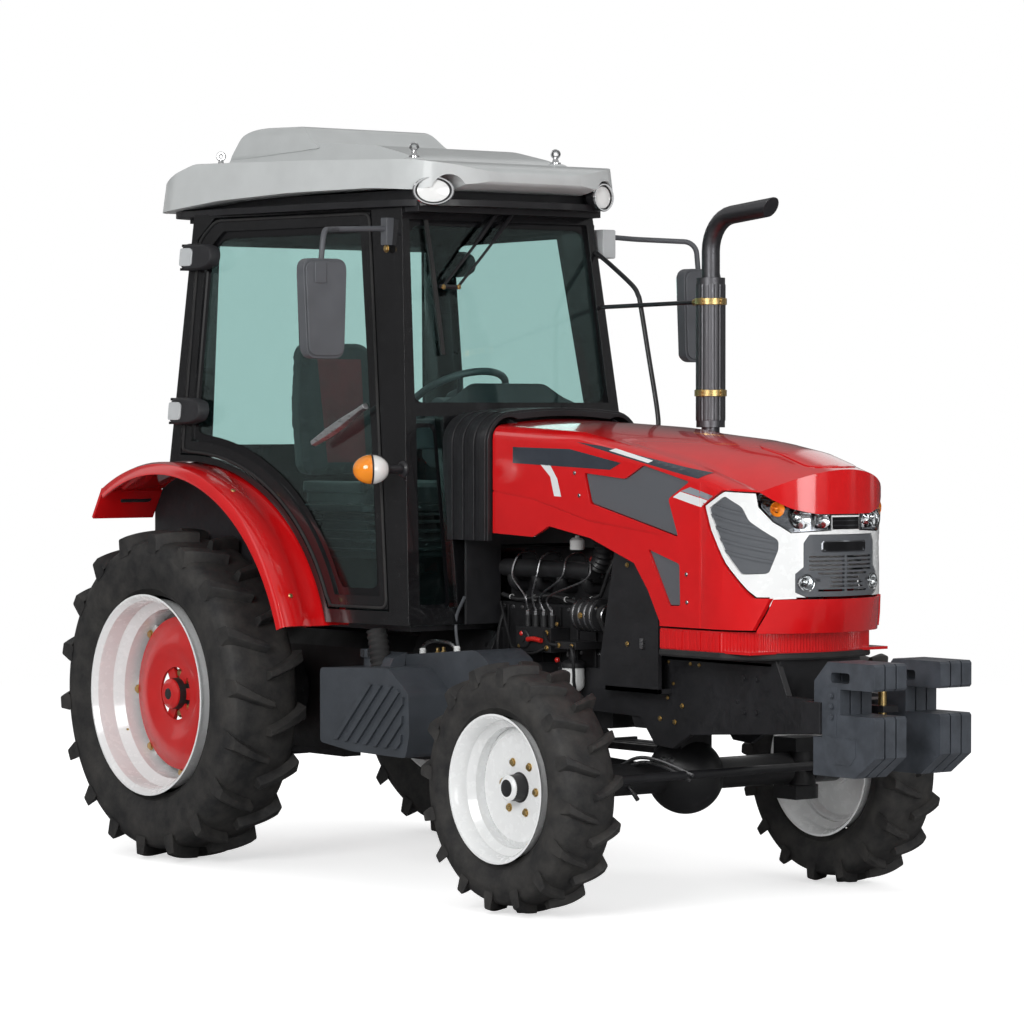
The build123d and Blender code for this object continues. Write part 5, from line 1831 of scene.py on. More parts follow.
# %% Headlamps
dark_chrome = metal("smoked_chrome", (0.30, 0.31, 0.33), 0.12, 30, 0.05)
BOWLS = [(96, 1341, 30, False), (166, 1344, 34, False), (232, 1374, 24, True)]  # y, z, radius, amber
covers, trays, bowls, glow = [], [], [], []
for sign in (1, -1):
    outline = [(sign * y, z) for y, z in shrunk(LAMP_FACE, 0.93)]
    covers.append(laid_on("headlamps", outline, from_front, (-1, 0, 0), 0.5, 18))
    outline = [(sign * y, z) for y, z in shrunk(LAMP_FACE, 0.95)]
    trays.append(tray("headlamps", outline, from_front, (-1, 0, 0), 1, 34, 18))
    for y, z, radius, is_amber in BOWLS:
        where, normal = spot_on("headlamps", (AHEAD, sign * y, z), (-1, 0, 0), -8)
        facing = (normal + Vector((1.5, 0, 0))).normalized()
        profile = [(radius, 0), (radius * 1.05, 1), (radius * 1.05, -4), (radius * 0.95, -6), (radius * 0.7, -14),
                   (radius * 0.35, -20), (radius * 0.3, -12), (radius * 0.2, -6), (0, -5)]
        (glow if is_amber else bowls).append(set_at(profile, where, facing, 28))
for sign in (1, -1):
    y, z = sign * FOG_AT[0], FOG_AT[1]
    facing = Vector((1, sign * 0.18, 0))
    bowls.append(turned([(27, 0), (30, 1), (31, -3), (30, -8), (24, -6), (14, -14), (6, -16), (6, -8), (0, -6)],
                        (2927, y, z), facing, 32))
    covers.append(turned([(25, -3), (24, 0), (18, 3), (9, 5), (0, 6)], (2927, y, z), facing, 24))
lamp_trays = piece("headlamp_trays", *join(*trays), "bonnet", dark_chrome, "lamp_chrome", smooth=False)
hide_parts("headlamps")
piece("headlamp_bowls", *join(*bowls), "bonnet", chrome)
piece("headlamp_amber_bowls", *join(*glow), "bonnet", amber)
clear_cover = glass("lamp_cover", (0.93, 0.95, 0.96))
piece("headlamp_covers", *join(*covers), "bonnet", clear_cover)

# %% [markdown]
# Between the lamps runs a dark glossy bar with two bright lines. The plate in the middle of the grille is left
# blank. A pressed panel lies over the front of the bonnet, its edge only three millimetres high.

# %% Bar, plate and pressed panel
BAR = rectangle(-60, 60, 1306, 1347)
piece("lamp_bar", *laid_on("nose_surround", BAR, from_front, (-1, 0, 0), 0.8, 12), "bonnet", frit)
lines = [laid_on("nose_surround", [(-58, z), (58, z), (58, z + 4), (-58, z + 4)], from_front, (-1, 0, 0), 1.8, 12)
         for z in (1317, 1333)]
piece("lamp_bar_lines", *join(*lines), "bonnet", dark_chrome, smooth=False)
frame_outline = rounded(rectangle(-98, 98, 1231, 1269), 8)
plate_outline = rounded(rectangle(-93, 93, 1235, 1265), 6)
piece("plate_frame", *laid_on("nose_grille", frame_outline, from_front, (-1, 0, 0), 1.4, 14), "bonnet", dark_chrome,
      smooth=False)
piece("blank_plate", *laid_on("nose_grille", plate_outline, from_front, (-1, 0, 0), 2.6, 14), "bonnet", frit,
      smooth=False)
recesses = []
for sign in (1, -1):
    recess = rounded([(sign * 58, 1112), (sign * 58, 1150), (sign * 118, 1154), (sign * 118, 1108)], 14)
    recesses.append(laid_on("nose_grille", recess, from_front, (-1, 0, 0), 1.2, 12))
piece("fog_recesses", *join(*recesses), "bonnet", grey_plastic, smooth=False)

HALF_PANEL = [(2572, 0), (2590, 62), (2640, 98), (2770, 108), (2880, 108), (2915, 84), (2938, 40), (2944, 0)]
outline = rounded([(x, -y) for x, y in HALF_PANEL] + [(x, y) for x, y in reversed(HALF_PANEL[1:-1])], 30, 5)
pressed = laid_on("bonnet", outline, lambda x, y: at(x, y, 1900), (0, 0, -1), 3.0, 26)
pressed = piece("bonnet_pressing", *pressed, "bonnet", red_gloss, "red_paint")
rim = pressed.modifiers.new("rim", "SOLIDIFY")
rim.thickness, rim.offset = 0.004, -1
bevel = pressed.modifiers.new("soft_rim", "BEVEL")
bevel.width, bevel.segments, bevel.limit_method = 0.0015, 2, "ANGLE"

# %% Screws on the bonnet's flanks
SCREWS = [(1936, 1484), (1961, 1406), (2531, 1150), (2534, 1056)]
screws = []
for sign in (1, -1):
    for x, z in SCREWS:
        where, normal = spot_on("bonnet", (x, sign * 600, z), (0, -sign, 0))
        screws.append(set_at([(7, 0), (7, 2), (5, 3.5), (2, 3.5), (2, 2), (0, 2)], where, normal, 16))
piece("bonnet_screws", *join(*screws), "bonnet", steel)

# %% [markdown]
# ## Bumper strip
# The strip under the nose is moulded with fine upright ribs. Its band is one wall that follows the plan of the
# bumper and steps in and out every few millimetres. A rubber strip closes it below.

# %% Ribbed band and rubber strip


def strip_path(step):
    """x, y round the strip from the left rear corner over the nose to the right one, in equal steps."""
    (x1, y1), tip = (2800, 250), 2866
    middle = (tip ** 2 - x1 ** 2 - y1 ** 2) / (2 * (tip - x1))
    radius = tip - middle
    start = atan2(y1, x1 - middle)
    arc = [(middle + radius * cos(start * (1 - k / 12)), radius * sin(start * (1 - k / 12))) for k in range(13)]
    half = [(2377, 318), (2690, 316)] + arc
    return paced([Vector(p) for p in half + [(x, -y) for x, y in reversed(half[:-1])]], step)


def swept_round(path, section):
    """A section of (outward, z) carried along a plan path; section may differ from point to point."""
    verts = []
    for i, p in enumerate(path):
        ahead = (path[min(i + 1, len(path) - 1)] - path[max(i - 1, 0)]).normalized()
        out = Vector((-ahead.y, ahead.x))
        for offset, z in section(i):
            q = p + out * offset
            verts.append(at(q.x, q.y, z))
    return verts, net_faces(len(path), len(section(0)), caps=True)


def rib_section(i):
    depth = 3.4 if i % 4 < 2 else 0.6
    return [(-4, 897), (depth, 897), (depth, 960), (-4, 960)]


ribs = swept_round(strip_path(3), rib_section)
on_chassis("strip_ribs", [ribs], red_gloss, "red_paint", smooth=False)
RUBBER = [(-22, 872), (3, 870), (7, 876), (6, 888), (2, 893), (-22, 893)]
rubber_strip = swept_round(strip_path(12), lambda i: RUBBER)
on_chassis("strip_rubber", [rubber_strip], seal_rubber)

# %% Frame bolts, clips and tow pin
heads = side_bolts([(2663, 803), (2725, 801), (2663, 689), (2725, 689)], FRAME_SIDE, 10)
heads += side_bolts([(2627, 721)], FRAME_SIDE, 7)
clips = side_bolts([(2268, 838), (2384, 836), (2430, 834), (2294, 764), (2264, 714)], FRAME_SIDE, 6)
on_chassis("frame_bolts", heads, black_satin, edge=0.0006)
on_chassis("frame_small_bolts", clips, gold)
pin_top = turned([(0, 0), (14.2, 0), (14.2, 150), (20, 156), (20, 166), (0, 170)], (3135, 0, 640), (0, 0, 1), 24)
handle = pipe([(3135, 0, 806), (3135, 16, 832), (3135, 0, 852), (3135, -16, 832), (3135, 0, 806)], 5, 10, 8)
on_chassis("tow_pin", [pin_top, handle], gold)
weight_bolts = side_bolts([(3128, 700), (3128, 735), (3128, 770)], 224, 9)
on_chassis("weight_bolts", weight_bolts, cast_slate, edge=0.0006)

# %% [markdown]
# ## Exhaust
# The stack's heat guard is a fluted sleeve held by two plated straps, each closed with a pair of bolts.

# %% Flutes and straps
count, z0, z1 = 88, 1664, 2156
verts = []
for z, inset in ((z0, 0.5), (z0 + 6, 0), (z1 - 6, 0), (z1, 0.5)):
    for k in range(count):
        a = tau * k / count
        r = (53.8 if k % 4 < 2 else 52.4) - inset
        verts.append(at(STACK[0] + r * cos(a), STACK[1] + r * sin(a), z))
piece("exhaust_flutes", verts, net_faces(4, count), "chassis", pipe_metal, smooth=False)
straps = []
for z in (1752, 2082):
    straps.append(turned([(57.3, 0), (58.6, 1), (58.6, 23), (57.3, 24), (57.3, 0)], (*STACK, z), (0, 0, 1), 48))
    for dz in (6, 18):
        straps.append(bolt((STACK[0] + 16, STACK[1] - 56, z + dz), (0.2, -1, 0), 7))
        straps.append(bolt((STACK[0] + 58, STACK[1], z + dz), (1, 0, 0), 7))
on_chassis("exhaust_straps", straps, gold, edge=0.0005)
joint = turned([(0, 0), (12, 0), (12, 22), (8, 26), (0, 26)], (1700, 412, 2093), (1, 0, 0), 20)
on_chassis("exhaust_stay_joint", [joint], gold)

# %% [markdown]
# ## The open engine
# The engine bay is open at the side, so its small parts can be seen: the bolts along the castings, steel fuel
# pipes from the injection pump to the head, a white filter bowl, the belt and the bundled wires. Each is one
# lathe piece or one pipe on the solid castings.

# %% Bolts along the castings
corrugated = painted("loom_black", (0.010, 0.010, 0.011), gloss=0.5, coat=0.1, vary=0.3, bump=0.2)
hot_red = painted("cap_red", (0.60, 0.015, 0.01), gloss=0.35, coat=0.4, vary=0.1)
filter_white = painted("filter_white", (0.74, 0.75, 0.74), gloss=0.35, coat=0.3, vary=0.04)
ROWS = [  # x of the first and last bolt, how many, distance from the middle, z, size
    (1318, 1872, 12, 119, 1117, 8), (1318, 1872, 9, 119, 1030, 7), (1300, 1890, 12, 151, 992, 7),
    (1290, 1880, 11, 136, 655, 7), (1345, 1845, 6, 151, 842, 6), (1352, 1842, 9, 89, 1145, 7),
]
bright, dull = [], []
for first, last, count, y, z, size in ROWS:
    for k in range(count):
        x = first + (last - first) * k / (count - 1)
        for sign in (1, -1):
            (bright if k % 3 else dull).append(bolt((x, sign * y, z), (0, sign, 0), size))
on_chassis("engine_bolts", bright, steel, edge=0.0004)
on_chassis("engine_bolts_dark", dull, cast_black, edge=0.0004)

# %% Fuel system on the right
pipes, nuts = [], []
for k in range(4):
    pump_x, head_x = 1510 + 46 * k, 1445 + 140 * k
    pipes.append(pipe([(pump_x, -205, 978), (pump_x, -222, 1040), (head_x, -226, 1110), (head_x, -200, 1180),
                       (head_x, -130, 1192), (head_x, -103, 1142)], 3.6, 8, 8))
    nuts.append(turned([(0, 0), (10, 0), (10, 14), (6, 18), (6, 24), (0, 24)], (pump_x, -205, 970), (0, 0, 1), 6))
    nuts.append(turned([(0, 0), (11, 0), (11, 10), (8, 12), (8, 20), (0, 22)], (head_x, -103, 1128), (0, 0, 1), 6))
on_chassis("fuel_pipes", pipes, steel)
on_chassis("fuel_pipe_nuts", nuts, steel, edge=0.0005)
lever = pipe([(1562, -249, 886), (1600, -250, 889), (1640, -249, 884)], 9, 12, 4)
dots = [turned([(0, 0), (9, 0), (9, 8), (5, 12), (0, 12)], place, (0, -1, 0), 16)
        for place in ((1693, -215, 817), (1520, -238, 905))]
cap = turned([(0, 0), (24, 0), (24, 16), (20, 22), (0, 24)], (1772, -104, 1160), (0, 0, 1), 24)
on_chassis("red_fittings", [lever, cap, *dots], hot_red)
FILTER_AT = (1792, -226, 712)
filter_can = turned([(0, 0), (26, 2), (38, 14), (40, 22), (40, 80), (36, 86), (0, 86)], FILTER_AT, (0, 0, 1), 32)
reservoir = turned([(0, 0), (24, 0), (26, 6), (26, 34), (18, 42), (8, 44), (8, 50), (0, 50)],
                   (1690, -126, 1206), (0, 0, 1), 24)
on_chassis("filter_bowls", [filter_can, reservoir], filter_white)
collar = turned([(42, 84), (43, 84), (43, 100), (30, 108), (14, 112), (14, 152), (0, 152)], FILTER_AT, (0, 0, 1), 32)
stud = turned(rectangle(0, 7, 0, 30), (1764, -226, 834), (0, 0, 1), 6)
on_chassis("filter_collar", [collar, stud], cast_black)
banjo = [bolt(place, (0, -1, 0), size) for place, size in (
    ((1658, -239, 912), 9), ((1658, -239, 858), 9), ((1500, -239, 860), 7), ((1600, -258, 760), 12),
    ((1700, -226, 944), 7), ((1764, -269, 874), 8), ((1836, -269, 874), 8), ((1902, -283, 985), 10))]
on_chassis("banjo_bolts", banjo, gold, edge=0.0005)
feeds = [pipe([(1764, -272, 874), (1720, -280, 880), (1680, -262, 900), (1658, -246, 912)], 6, 10, 8),
         pipe([(1836, -272, 874), (1860, -285, 850), (1850, -270, 760), (1800, -240, 690), (1600, -235, 672),
               (1400, -230, 668)], 6, 10, 8),
         pipe([(1658, -246, 858), (1600, -262, 838), (1500, -262, 850), (1420, -225, 900), (1330, -190, 1010)],
              5, 10, 8)]
on_chassis("fuel_hoses", feeds, corrugated)

# %% [markdown]
# The solid engine has plain cylinders for the starter and the alternator. Rings, vents and terminals on
# them make them readable from afar.

# %% Starter, alternator and the pump's cover
plates = [turned([(0, 0), (34, 0), (34, 5), (30, 8), (12, 8), (12, 12), (0, 12)], (1530, -238, 886), (0, -1, 0), 28),
          turned([(0, 0), (22, 0), (22, 6), (18, 9), (0, 9)], (1470, -200, 886), (-1, 0, 0), 24)]
starter = [turned([(0, 0), (27, 0), (29, 4), (29, 108), (24, 116), (0, 116)], (1300, -222, 772), (1, 0, 0), 28),
           turned([(46, 0), (48, 2), (48, 14), (46, 16)], (1335, *STARTER), (1, 0, 0), 32),
           turned([(46, 0), (48, 2), (48, 10), (46, 12)], (1450, *STARTER), (1, 0, 0), 32)]
on_chassis("starter_solenoid", [*starter, *plates], cast_black, edge=0.0005)
vents = []
for k in range(12):
    a = tau * k / 12
    for x in (1846, 1956):
        vents.append(turned(rectangle(0, 6, 0, 3), (x, ALTERNATOR[0] + 44 * cos(a), ALTERNATOR[1] + 44 * sin(a)),
                            (1 if x > 1900 else -1, 0, 0), 8))
rims = [turned([(57, 0), (59.5, 1), (59.5, 7), (57, 8)], (x, *ALTERNATOR), (1, 0, 0), 40)
        for x in (1852, 1884, 1916, 1946)]
terminals = [bolt(place, (1, 0, 0), 7) for place in ((1416, -222, 784), (1416, -222, 760), (1964, -262, 1010))]
on_chassis("alternator_rings", [*rims, *vents, *terminals], steel, edge=0.0004)

# %% [markdown]
# A belt is the shortest loop round its pulleys. That loop is the hull of all the pulleys' points.

# %% Belt


def belt_round(wheels, x, half_width, thick):
    """A belt as the hull of its pulleys' circles, in y, z."""
    points = []
    for y, z, r in wheels:
        points += [(y + r * cos(tau * k / 40), z + r * sin(tau * k / 40)) for k in range(40)]
    points = sorted(points)

    def half_hull(run):
        hull = []
        for p in run:
            while len(hull) > 1 and ((hull[-1][0] - hull[-2][0]) * (p[1] - hull[-2][1])
                                     - (hull[-1][1] - hull[-2][1]) * (p[0] - hull[-2][0])) <= 0:
                hull.pop()
            hull.append(p)
        return hull[:-1]

    loop = half_hull(points) + half_hull(points[::-1])
    cy, cz = sum(p[0] for p in loop) / len(loop), sum(p[1] for p in loop) / len(loop)
    verts = []
    for grow, dx in ((0, -half_width), (thick, -half_width), (thick, half_width), (0, half_width)):
        for y, z in loop:
            out = Vector((y - cy, z - cz)).normalized()
            verts.append(at(x + dx, y + out.x * grow, z + out.y * grow))
    return verts, net_faces(4, len(loop), loop=True)


belt = belt_round([(*CRANK, 78), (*FAN, 53), (*ALTERNATOR, 34)], 1976, 9, 7)
on_chassis("fan_belt", [belt], seal_rubber)
pulley = turned([(0, 0), (34, 0), (36, 3), (33, 8), (33, 18), (36, 24), (34, 27), (0, 27)],
                (1963, *ALTERNATOR), (1, 0, 0), 32)
on_chassis("alternator_pulley", [pulley], steel)

# %% [markdown]
# A corrugated hose is the same ring of points, with a radius that swings as it goes along.

# %% Hoses and looms


def bellows(points, low, high, pitch, sides=20):
    """A corrugated hose: the radius swings between low and high along a soft curve."""
    middle = (low + high) / 2
    rings = rings_along(paced(smooth_line(points, 10), pitch / 4), [low, middle, high, middle], sides)
    return [at(*v) for ring in rings for v in ring], net_faces(len(rings), sides, caps=True)


air = bellows([(1996, -170, 1428), (1940, -172, 1420), (1902, -176, 1330), (1896, -176, 1200), (1862, -176, 1142)],
              30, 36, 16)
on_chassis("air_hose", [air], corrugated)
coolant = [pipe([(1900, 20, 1120), (1980, 10, 1180), (2060, -90, 1330), (2146, -120, 1352)], 24, 16, 10),
           pipe([(1942, -110, 720), (2000, -150, 700), (2080, -190, 800), (2152, -180, 900)], 24, 16, 10)]
on_chassis("coolant_hoses", coolant, seal_rubber)
clips = [turned([(24.4, 0), (26, 1), (26, 9), (24.4, 10)], place, way, 28) for place, way in (
    ((2118, -112, 1345), (1, -0.25, 0.2)), ((1958, -126, 708), (1, -0.6, -0.3)), ((1914, 18, 1126), (1, 0, 0.6)))]
on_chassis("hose_clips", clips, steel)
looms = [bellows([(1300, -158, 1036), (1420, -170, 1022), (1600, -166, 1040), (1760, -170, 1020), (1890, -180, 1052)],
                 7, 9, 8, 10),
         bellows([(1320, -160, 1000), (1350, -215, 900), (1380, -240, 820), (1400, -235, 776)], 6, 8, 8, 10),
         bellows([(1890, -180, 1052), (1940, -200, 1100), (2010, -236, 1150), (2110, -238, 1290)], 6, 8, 8, 10),
         bellows([(1300, 160, 1040), (1500, 168, 1010), (1880, 160, 1030)], 7, 9, 8, 10)]
on_chassis("wire_looms", looms, corrugated)
ties = [turned(rectangle(9, 10.5, 0, 4), place, (1, 0, 0), 16) for place in (
    (1360, -164, 1028), (1500, -168, 1030), (1680, -168, 1030), (1830, -174, 1036))]
on_chassis("loom_ties", ties, filter_white)

# %% [markdown]
# ## Front axle, tank and gearbox trim
# Two plated hoses feed the steering ram. A breather pipe arches over the tank, and a rubber boot joins the tank's
# filler to the cab floor.

# %% Hoses on the axle
hoses = [pipe([(2090, -262, 470), (2183, -250, 505), (2293, -238, 497), (2416, -205, 458)], 6.5, 10, 8),
         pipe([(2092, -262, 452), (2190, -246, 489), (2300, -232, 480), (2400, -205, 440)], 6.5, 10, 8),
         pipe([(2168, -296, 414), (2205, -302, 396), (2236, -300, 366)], 8, 10, 8)]
on_chassis("axle_hoses", hoses, steel)
ends = [turned([(0, 0), (10, 0), (10, 12), (8, 14), (8, 28), (0, 28)], place, (1, 0.1, 0.35), 6)
        for place in ((2070, -264, 462), (2072, -264, 444))]
ends += [turned(rectangle(0, 11, 0, 16), (2232 + k * 40, -176, 497), (0, -1, 0), 6) for k in (0, 1)]
on_chassis("hose_ends", ends, steel, edge=0.0005)
frame_gold = [bolt(place, (0, -1, 0), 8) for place in ((2225, -191, 640), (2303, -191, 632), (2342, -191, 690),
                                                       (2125, -256, 1168), (2126, -256, 895))]
on_chassis("gold_frame_bolts", frame_gold, gold, edge=0.0005)
latch = plate(rounded(rectangle(2204, 2220, 882, 918), 3), 0, 0.012,
              lambda x, z, d: at(x, -255, z) + Vector((0, -d, 0)))
on_chassis("radiator_latch", [latch], steel, edge=0.001)

# %% [markdown]
# Small fittings stand on the tank: a breather, two sleeves, brass nuts and grips round its cap.

# %% Tank trim
ARCH = [(1180, 812), (1182, 846), (1220, 868), (1276, 872), (1350, 866), (1382, 838), (1384, 822)]
arch = pipe([(x, -430, z) for x, z in ARCH], 7, 12, 8)
on_chassis("tank_breather", [arch], steel)
sleeves = [turned([(0, 0), (12, 0), (12, 22), (9, 26), (0, 26)], (x, -430, z), (0, 0, 1), 20)
           for x, z in ((1180, 818), (1384, 834))]
on_chassis("breather_sleeves", sleeves, filter_white)
brass = [turned([(0, 0), (11, 0), (11, 9), (7, 11), (7, 24), (0, 24)], (x, -404, z), (0, 0, 1), 6)
         for x, z in ((1236, 822), (1271, 826))]
on_chassis("tank_fittings", brass, gold, edge=0.0005)
boot = bellows([(1100, -556, 768), (1084, -552, 820), (1066, -548, 880), (1058, -546, 905)], 34, 39, 22, 24)
on_chassis("filler_boot", [boot], seal_rubber)
cable = pipe([(1308, -338, 1030), (1262, -339, 960), (1258, -338, 900), (1262, -330, 830)], 6, 10, 8)
on_chassis("side_cable", [cable], grey_plastic)
cap_grips = []
for k in range(12):
    a = tau * k / 12
    cap_grips.append(turned(rectangle(0, 4, 0, 24), (1000 + 44 * cos(a), -520 + 44 * sin(a), 810),
                            (0, 0, 1), 8))
on_chassis("tank_cap_grips", cap_grips, moulded)

# %% [markdown]
# Bolts follow the flanges in rows and circles. The shaft ends in fine splines.

# %% Gearbox bolts and the drive shaft's splines
flange_bolts = []
for y, z in ((-205, 520), (-218, 600), (-218, 690), (-218, 780), (-190, 850), (-120, 880), (0, 884), (120, 880),
             (190, 850), (218, 780), (218, 690), (218, 600), (205, 520)):
    flange_bolts.append(bolt((1246, y, z), (-1, 0, 0), 9))
for sign in (1, -1):
    for k in range(12):
        a = tau * k / 12
        flange_bolts.append(bolt((136 * cos(a), sign * 226, 627 + 136 * sin(a)), (0, sign, 0), 9))
for y, z in ((-120, 560), (120, 560), (-130, 660), (130, 660), (-120, 750), (120, 750)):
    flange_bolts.append(bolt((-349, y, z), (-1, 0, 0), 9))
on_chassis("gearbox_bolts", flange_bolts, cast_black, edge=0.0006)
count = 48
verts = []
for x in (-350, -414, -421):
    for k in range(count):
        a = tau * k / count
        r = (17.4 if k % 8 < 5 else 14.2) - (1.5 if x == -421 else 0)
        verts.append(at(x, r * cos(a), 640 + r * sin(a)))
faces = net_faces(3, count) + [tuple(range(2 * count, 3 * count))]
piece("shaft_splines", verts, faces, "chassis", steel, smooth=False)

# %% [markdown]
# ## Mudguards
# Each rear mudguard is a pressed band round the wheel with two shallow steps and a rolled lip. Its section is
# drawn once, turned round the axle, and sawn to the wedge that the real one covers. A flat flap hangs behind.

# %% Mudguards
FENDER_R = 880
FENDER_SECTION = [  # radius, y of the mudguard's wall, with two pressed steps and a rolled outer lip
    (880, -505), (880, -590), (874, -600), (874, -690), (880, -700), (880, -770), (872, -792), (858, -800),
    (832, -800), (832, -792), (854, -790), (866, -782), (868, -764), (868, -704), (862, -696), (862, -598),
    (868, -588), (868, -505),
]
guard = ring_y(FENDER_SECTION, z=AXLE_Z, steps=144)
guard = guard & prism_y([(0, AXLE_Z + 1), (844 * 1.3, AXLE_Z + (923 - AXLE_Z) * 1.3), (844 * 1.3, 1800), (200, 2200),
                         (-403 * 1.4, AXLE_Z + (1395 - AXLE_Z) * 1.4)], -900, 0)
flap = prism_y([(-399, 1402), (-469, 1289), (-459, 1282), (-391, 1389)], -797, -522)
for side, half in (("left", mirrored(guard + flap)), ("right", guard + flap)):
    dress(f"mudguard_{side}", half, "chassis", red_gloss, "red_paint", 0.001, f"fender_{side}")
studs = []
for sign in (1, -1):
    for angle, y in ((27, 735), (62, 735), (27, 545), (62, 545), (98, 735)):
        out = Vector((cos(radians(angle)), 0, sin(radians(angle))))
        spot = Vector((0, sign * y, AXLE_Z)) + out * FENDER_R
        studs.append(turned([(9, -2), (9, 1), (6.5, 4), (0, 5)], spot, out, 16))
on_chassis("mudguard_studs", studs, gold, "red_paint", edge=0)

# %% [markdown]
# ## The driver's seat
# A tractor seat is foam under stitched cloth, so its pads swell between the seams. Each pad starts as a plain
# rounded block a little smaller than the real one. Blender's cloth solver then blows it up from inside for
# twenty frames, no point may move further than a cap, and the result is kept as an ordinary mesh.


# %% Seat cloth
def seat_cloth(name, colour):
    """Woven cloth: crossed threads, a slow change of shade and a soft sheen."""
    material, tree = shader(name)
    place = add(tree, "ShaderNodeTexCoord")
    threads = []
    for way in ("Y", "Z"):
        threads.append(add(tree, "ShaderNodeTexWave", Vector=place.outputs["Object"], Scale=180.0, Distortion=1.5))
        threads[-1].bands_direction = way
    weave = maths(tree, "ADD", threads[0].outputs["Fac"], threads[1].outputs["Fac"])
    drift = surface_noise(tree, 8)
    tint = ramp(tree, drift, (0.3, tuple(c * 0.75 for c in colour)), (0.7, tuple(min(1, c * 1.3) for c in colour)))
    skin = add(tree, "ShaderNodeBsdfPrincipled", Base_Color=tint, Roughness=0.85, Sheen_Weight=0.3)
    finish_shader(tree, skin, weave, 0.5, 0.0008)
    return material


black_cloth = seat_cloth("seat_cloth_black", (0.018, 0.018, 0.021))
red_cloth = seat_cloth("seat_cloth_red", (0.16, 0.012, 0.018))
print("cloth ready")

# %% Stuffing a pad
def stuffed(name, shape, cap, voxel=0.007):
    """Blows a block up into a pad; no point moves further than cap millimetres."""
    verts, faces = join(*shape.shells)
    mesh = bpy.data.meshes.new(name)
    mesh.from_pydata([at(*v) for v in verts], [], faces)
    obj = new_object(name, mesh)
    net = obj.modifiers.new("net", "REMESH")
    net.mode, net.voxel_size, net.use_smooth_shade = "VOXEL", voxel, True
    obj.data = evaluated_mesh(obj)
    obj.modifiers.clear()
    start = [v.co.copy() for v in obj.data.vertices]
    cloth = obj.modifiers.new("stuffing", "CLOTH")
    cloth.settings.use_pressure = True
    cloth.settings.uniform_pressure_force = 4
    cloth.settings.effector_weights.gravity = 0
    cloth.point_cache.frame_start, cloth.point_cache.frame_end = 1, 20
    for frame_number in range(1, 21):
        bpy.context.scene.frame_set(frame_number)
    blown = obj.evaluated_get(bpy.context.evaluated_depsgraph_get()).data
    moves = [v.co - s for v, s in zip(blown.vertices, start)]
    obj.modifiers.clear()
    for v, s, move in zip(obj.data.vertices, start, moves):
        v.co = s + move * min(1, cap / 1000 / max(move.length, 1e-9))
    bpy.context.scene.frame_set(1)
    round_off = obj.modifiers.new("round", "SUBSURF")
    round_off.levels = round_off.render_levels = 1
    obj.data = evaluated_mesh(obj)
    obj.modifiers.clear()
    obj.data.materials.clear()
    obj.data.materials.append(black_cloth)
    for face in obj.data.polygons:
        face.use_smooth = True
    TREES[name] = surface_of(obj.data)
    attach(obj, "chassis")
    print("stuffed", name, "with", len(obj.data.polygons), "faces")
    return obj

# %% [markdown]
# Four pads are stuffed. Under them stands a folded base, and the back carries a red insert.

# %% Cushion, back and base
def slanted(outline, low, high, lean):
    """A front-view outline pushed along x, leaning back as it rises."""
    return lofted([[(x + (z - 1430) * lean, y, z) for y, z in outline] for x in (low, high)])


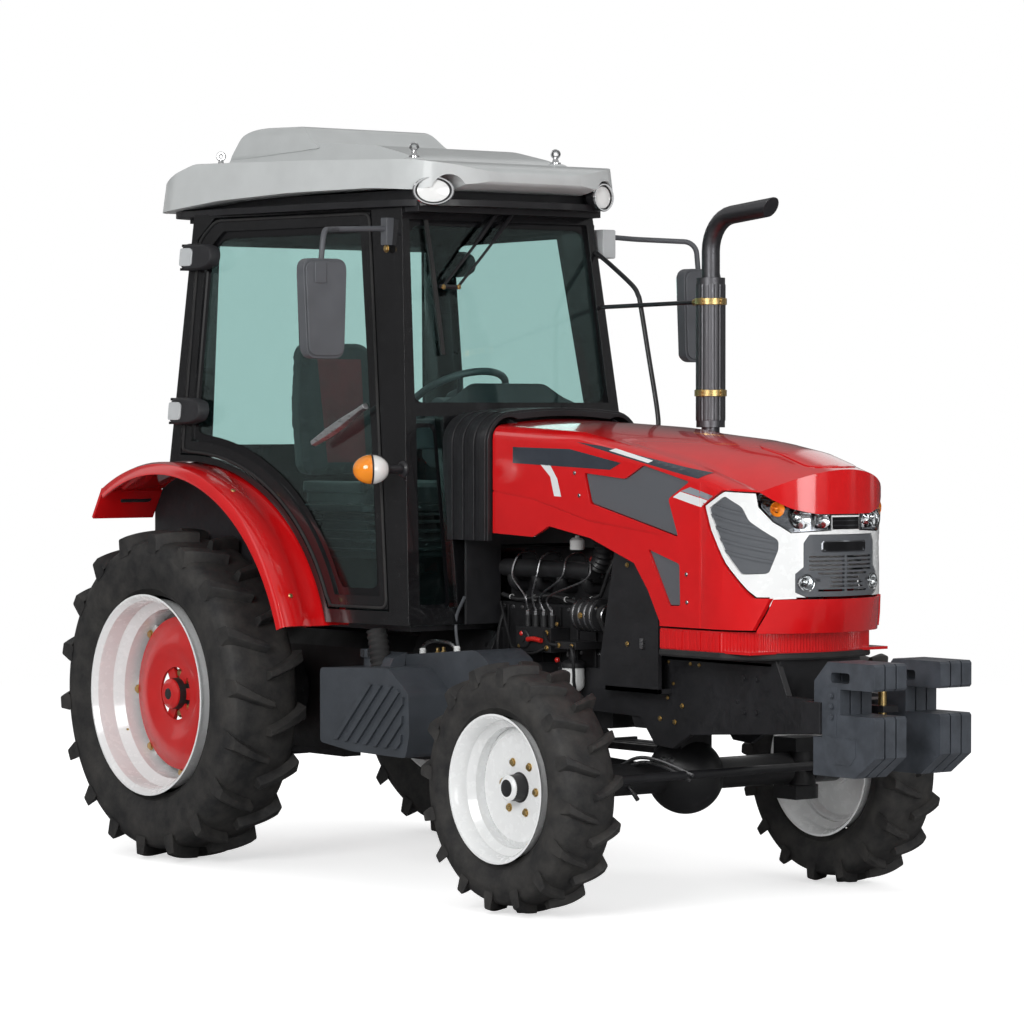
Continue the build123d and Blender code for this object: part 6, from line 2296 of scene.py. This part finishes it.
cushion = prism_z(rounded(rectangle(95, 545, -218, 218), 60, 5), 1346, 1412)
pad = stuffed("seat_cushion", cushion, 16)
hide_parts("seat")
back_outline = rounded([(-205, 1440), (205, 1440), (212, 1700), (168, 1975), (-168, 1975), (-212, 1700)], 60, 5)
stuffed("seat_back", slanted(back_outline, 52, 112, -0.13), 15)
for name, edge_y in SIDES:
    wing = [(120, edge_y * 176), (520, edge_y * 182), (520, edge_y * 216), (120, edge_y * 216)]
    stuffed(f"seat_bolster_{name}", prism_z(rounded(wing, 14, 3), 1388, 1430), 6)
insert = [(-92, 1500), (92, 1500), (104, 1900), (-104, 1900)]
panel = laid_on("seat_back", insert, lambda y, z: at(600, y, z), (-1, 0, 0), 1.5, 16)
on_chassis("seat_insert", [panel], red_cloth, "seat_cover")
base = total(prism_y([(140, 1140), (520, 1140), (500, 1215), (440, 1320), (200, 1320), (160, 1215)], -165, 165, 12),
             prism_z(rounded(rectangle(100, 540, -215, 215), 50, 4), 1318, 1342))
for z in (1165, 1200, 1235, 1270, 1300):
    base = base + prism_z(rounded(rectangle(128, 532, -176, 176), 30, 3), z, z + 12)
verts, faces = join(*base.shells)
piece("seat_base", [at(*v) for v in verts], faces, "chassis", moulded, "moulded_black", edge=0.003)

# %% [markdown]
# The console fills the space under the windscreen, and the wheel leans back toward the seat.

# %% Console and steering wheel
console = total(prism_y([(940, 925), (1130, 925), (1085, 1500), (985, 1500)], -150, 150, 10),
                prism_y([(880, 1530), (930, 1490), (1115, 1490), (1105, 1660), (1060, 1722), (960, 1752), (905, 1700)],
                        -215, 215, 16),
                prism_y([(1010, 1560), (1110, 1560), (1102, 1665), (1050, 1672)], -440, 440, 12))
dress("console", console, "chassis", grey_plastic, "moulded_black", 0.006, "dashboard")
WHEEL_AT, WHEEL_LEAN = (820, 0, 1752), Vector((-0.5, 0, 0.866))
stand = Matrix.Translation(at(*WHEEL_AT)) @ WHEEL_LEAN.to_track_quat("Z", "X").to_matrix().to_4x4()
grip = moved(torus(188, 14, 56, 14), stand @ Matrix.Rotation(pi / 2, 4, "X"))
axis = Vector(WHEEL_AT)
parts = [grip, turned([(24, -150), (24, -18), (44, -12), (46, 8), (38, 16), (0, 18)], axis, WHEEL_LEAN, 32)]
for angle in (90, 210, 330):
    far = stand.to_3x3() @ Vector((cos(radians(angle)) * 182, sin(radians(angle)) * 182, 0))
    parts.append(pipe([axis - WHEEL_LEAN * 4, axis + far * 0.5 - WHEEL_LEAN * 12, axis + far], 11, 12, 5))
wheel = on_chassis("steering_wheel_rim", parts, grey_plastic, "moulded_black")
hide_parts("steering_wheel")
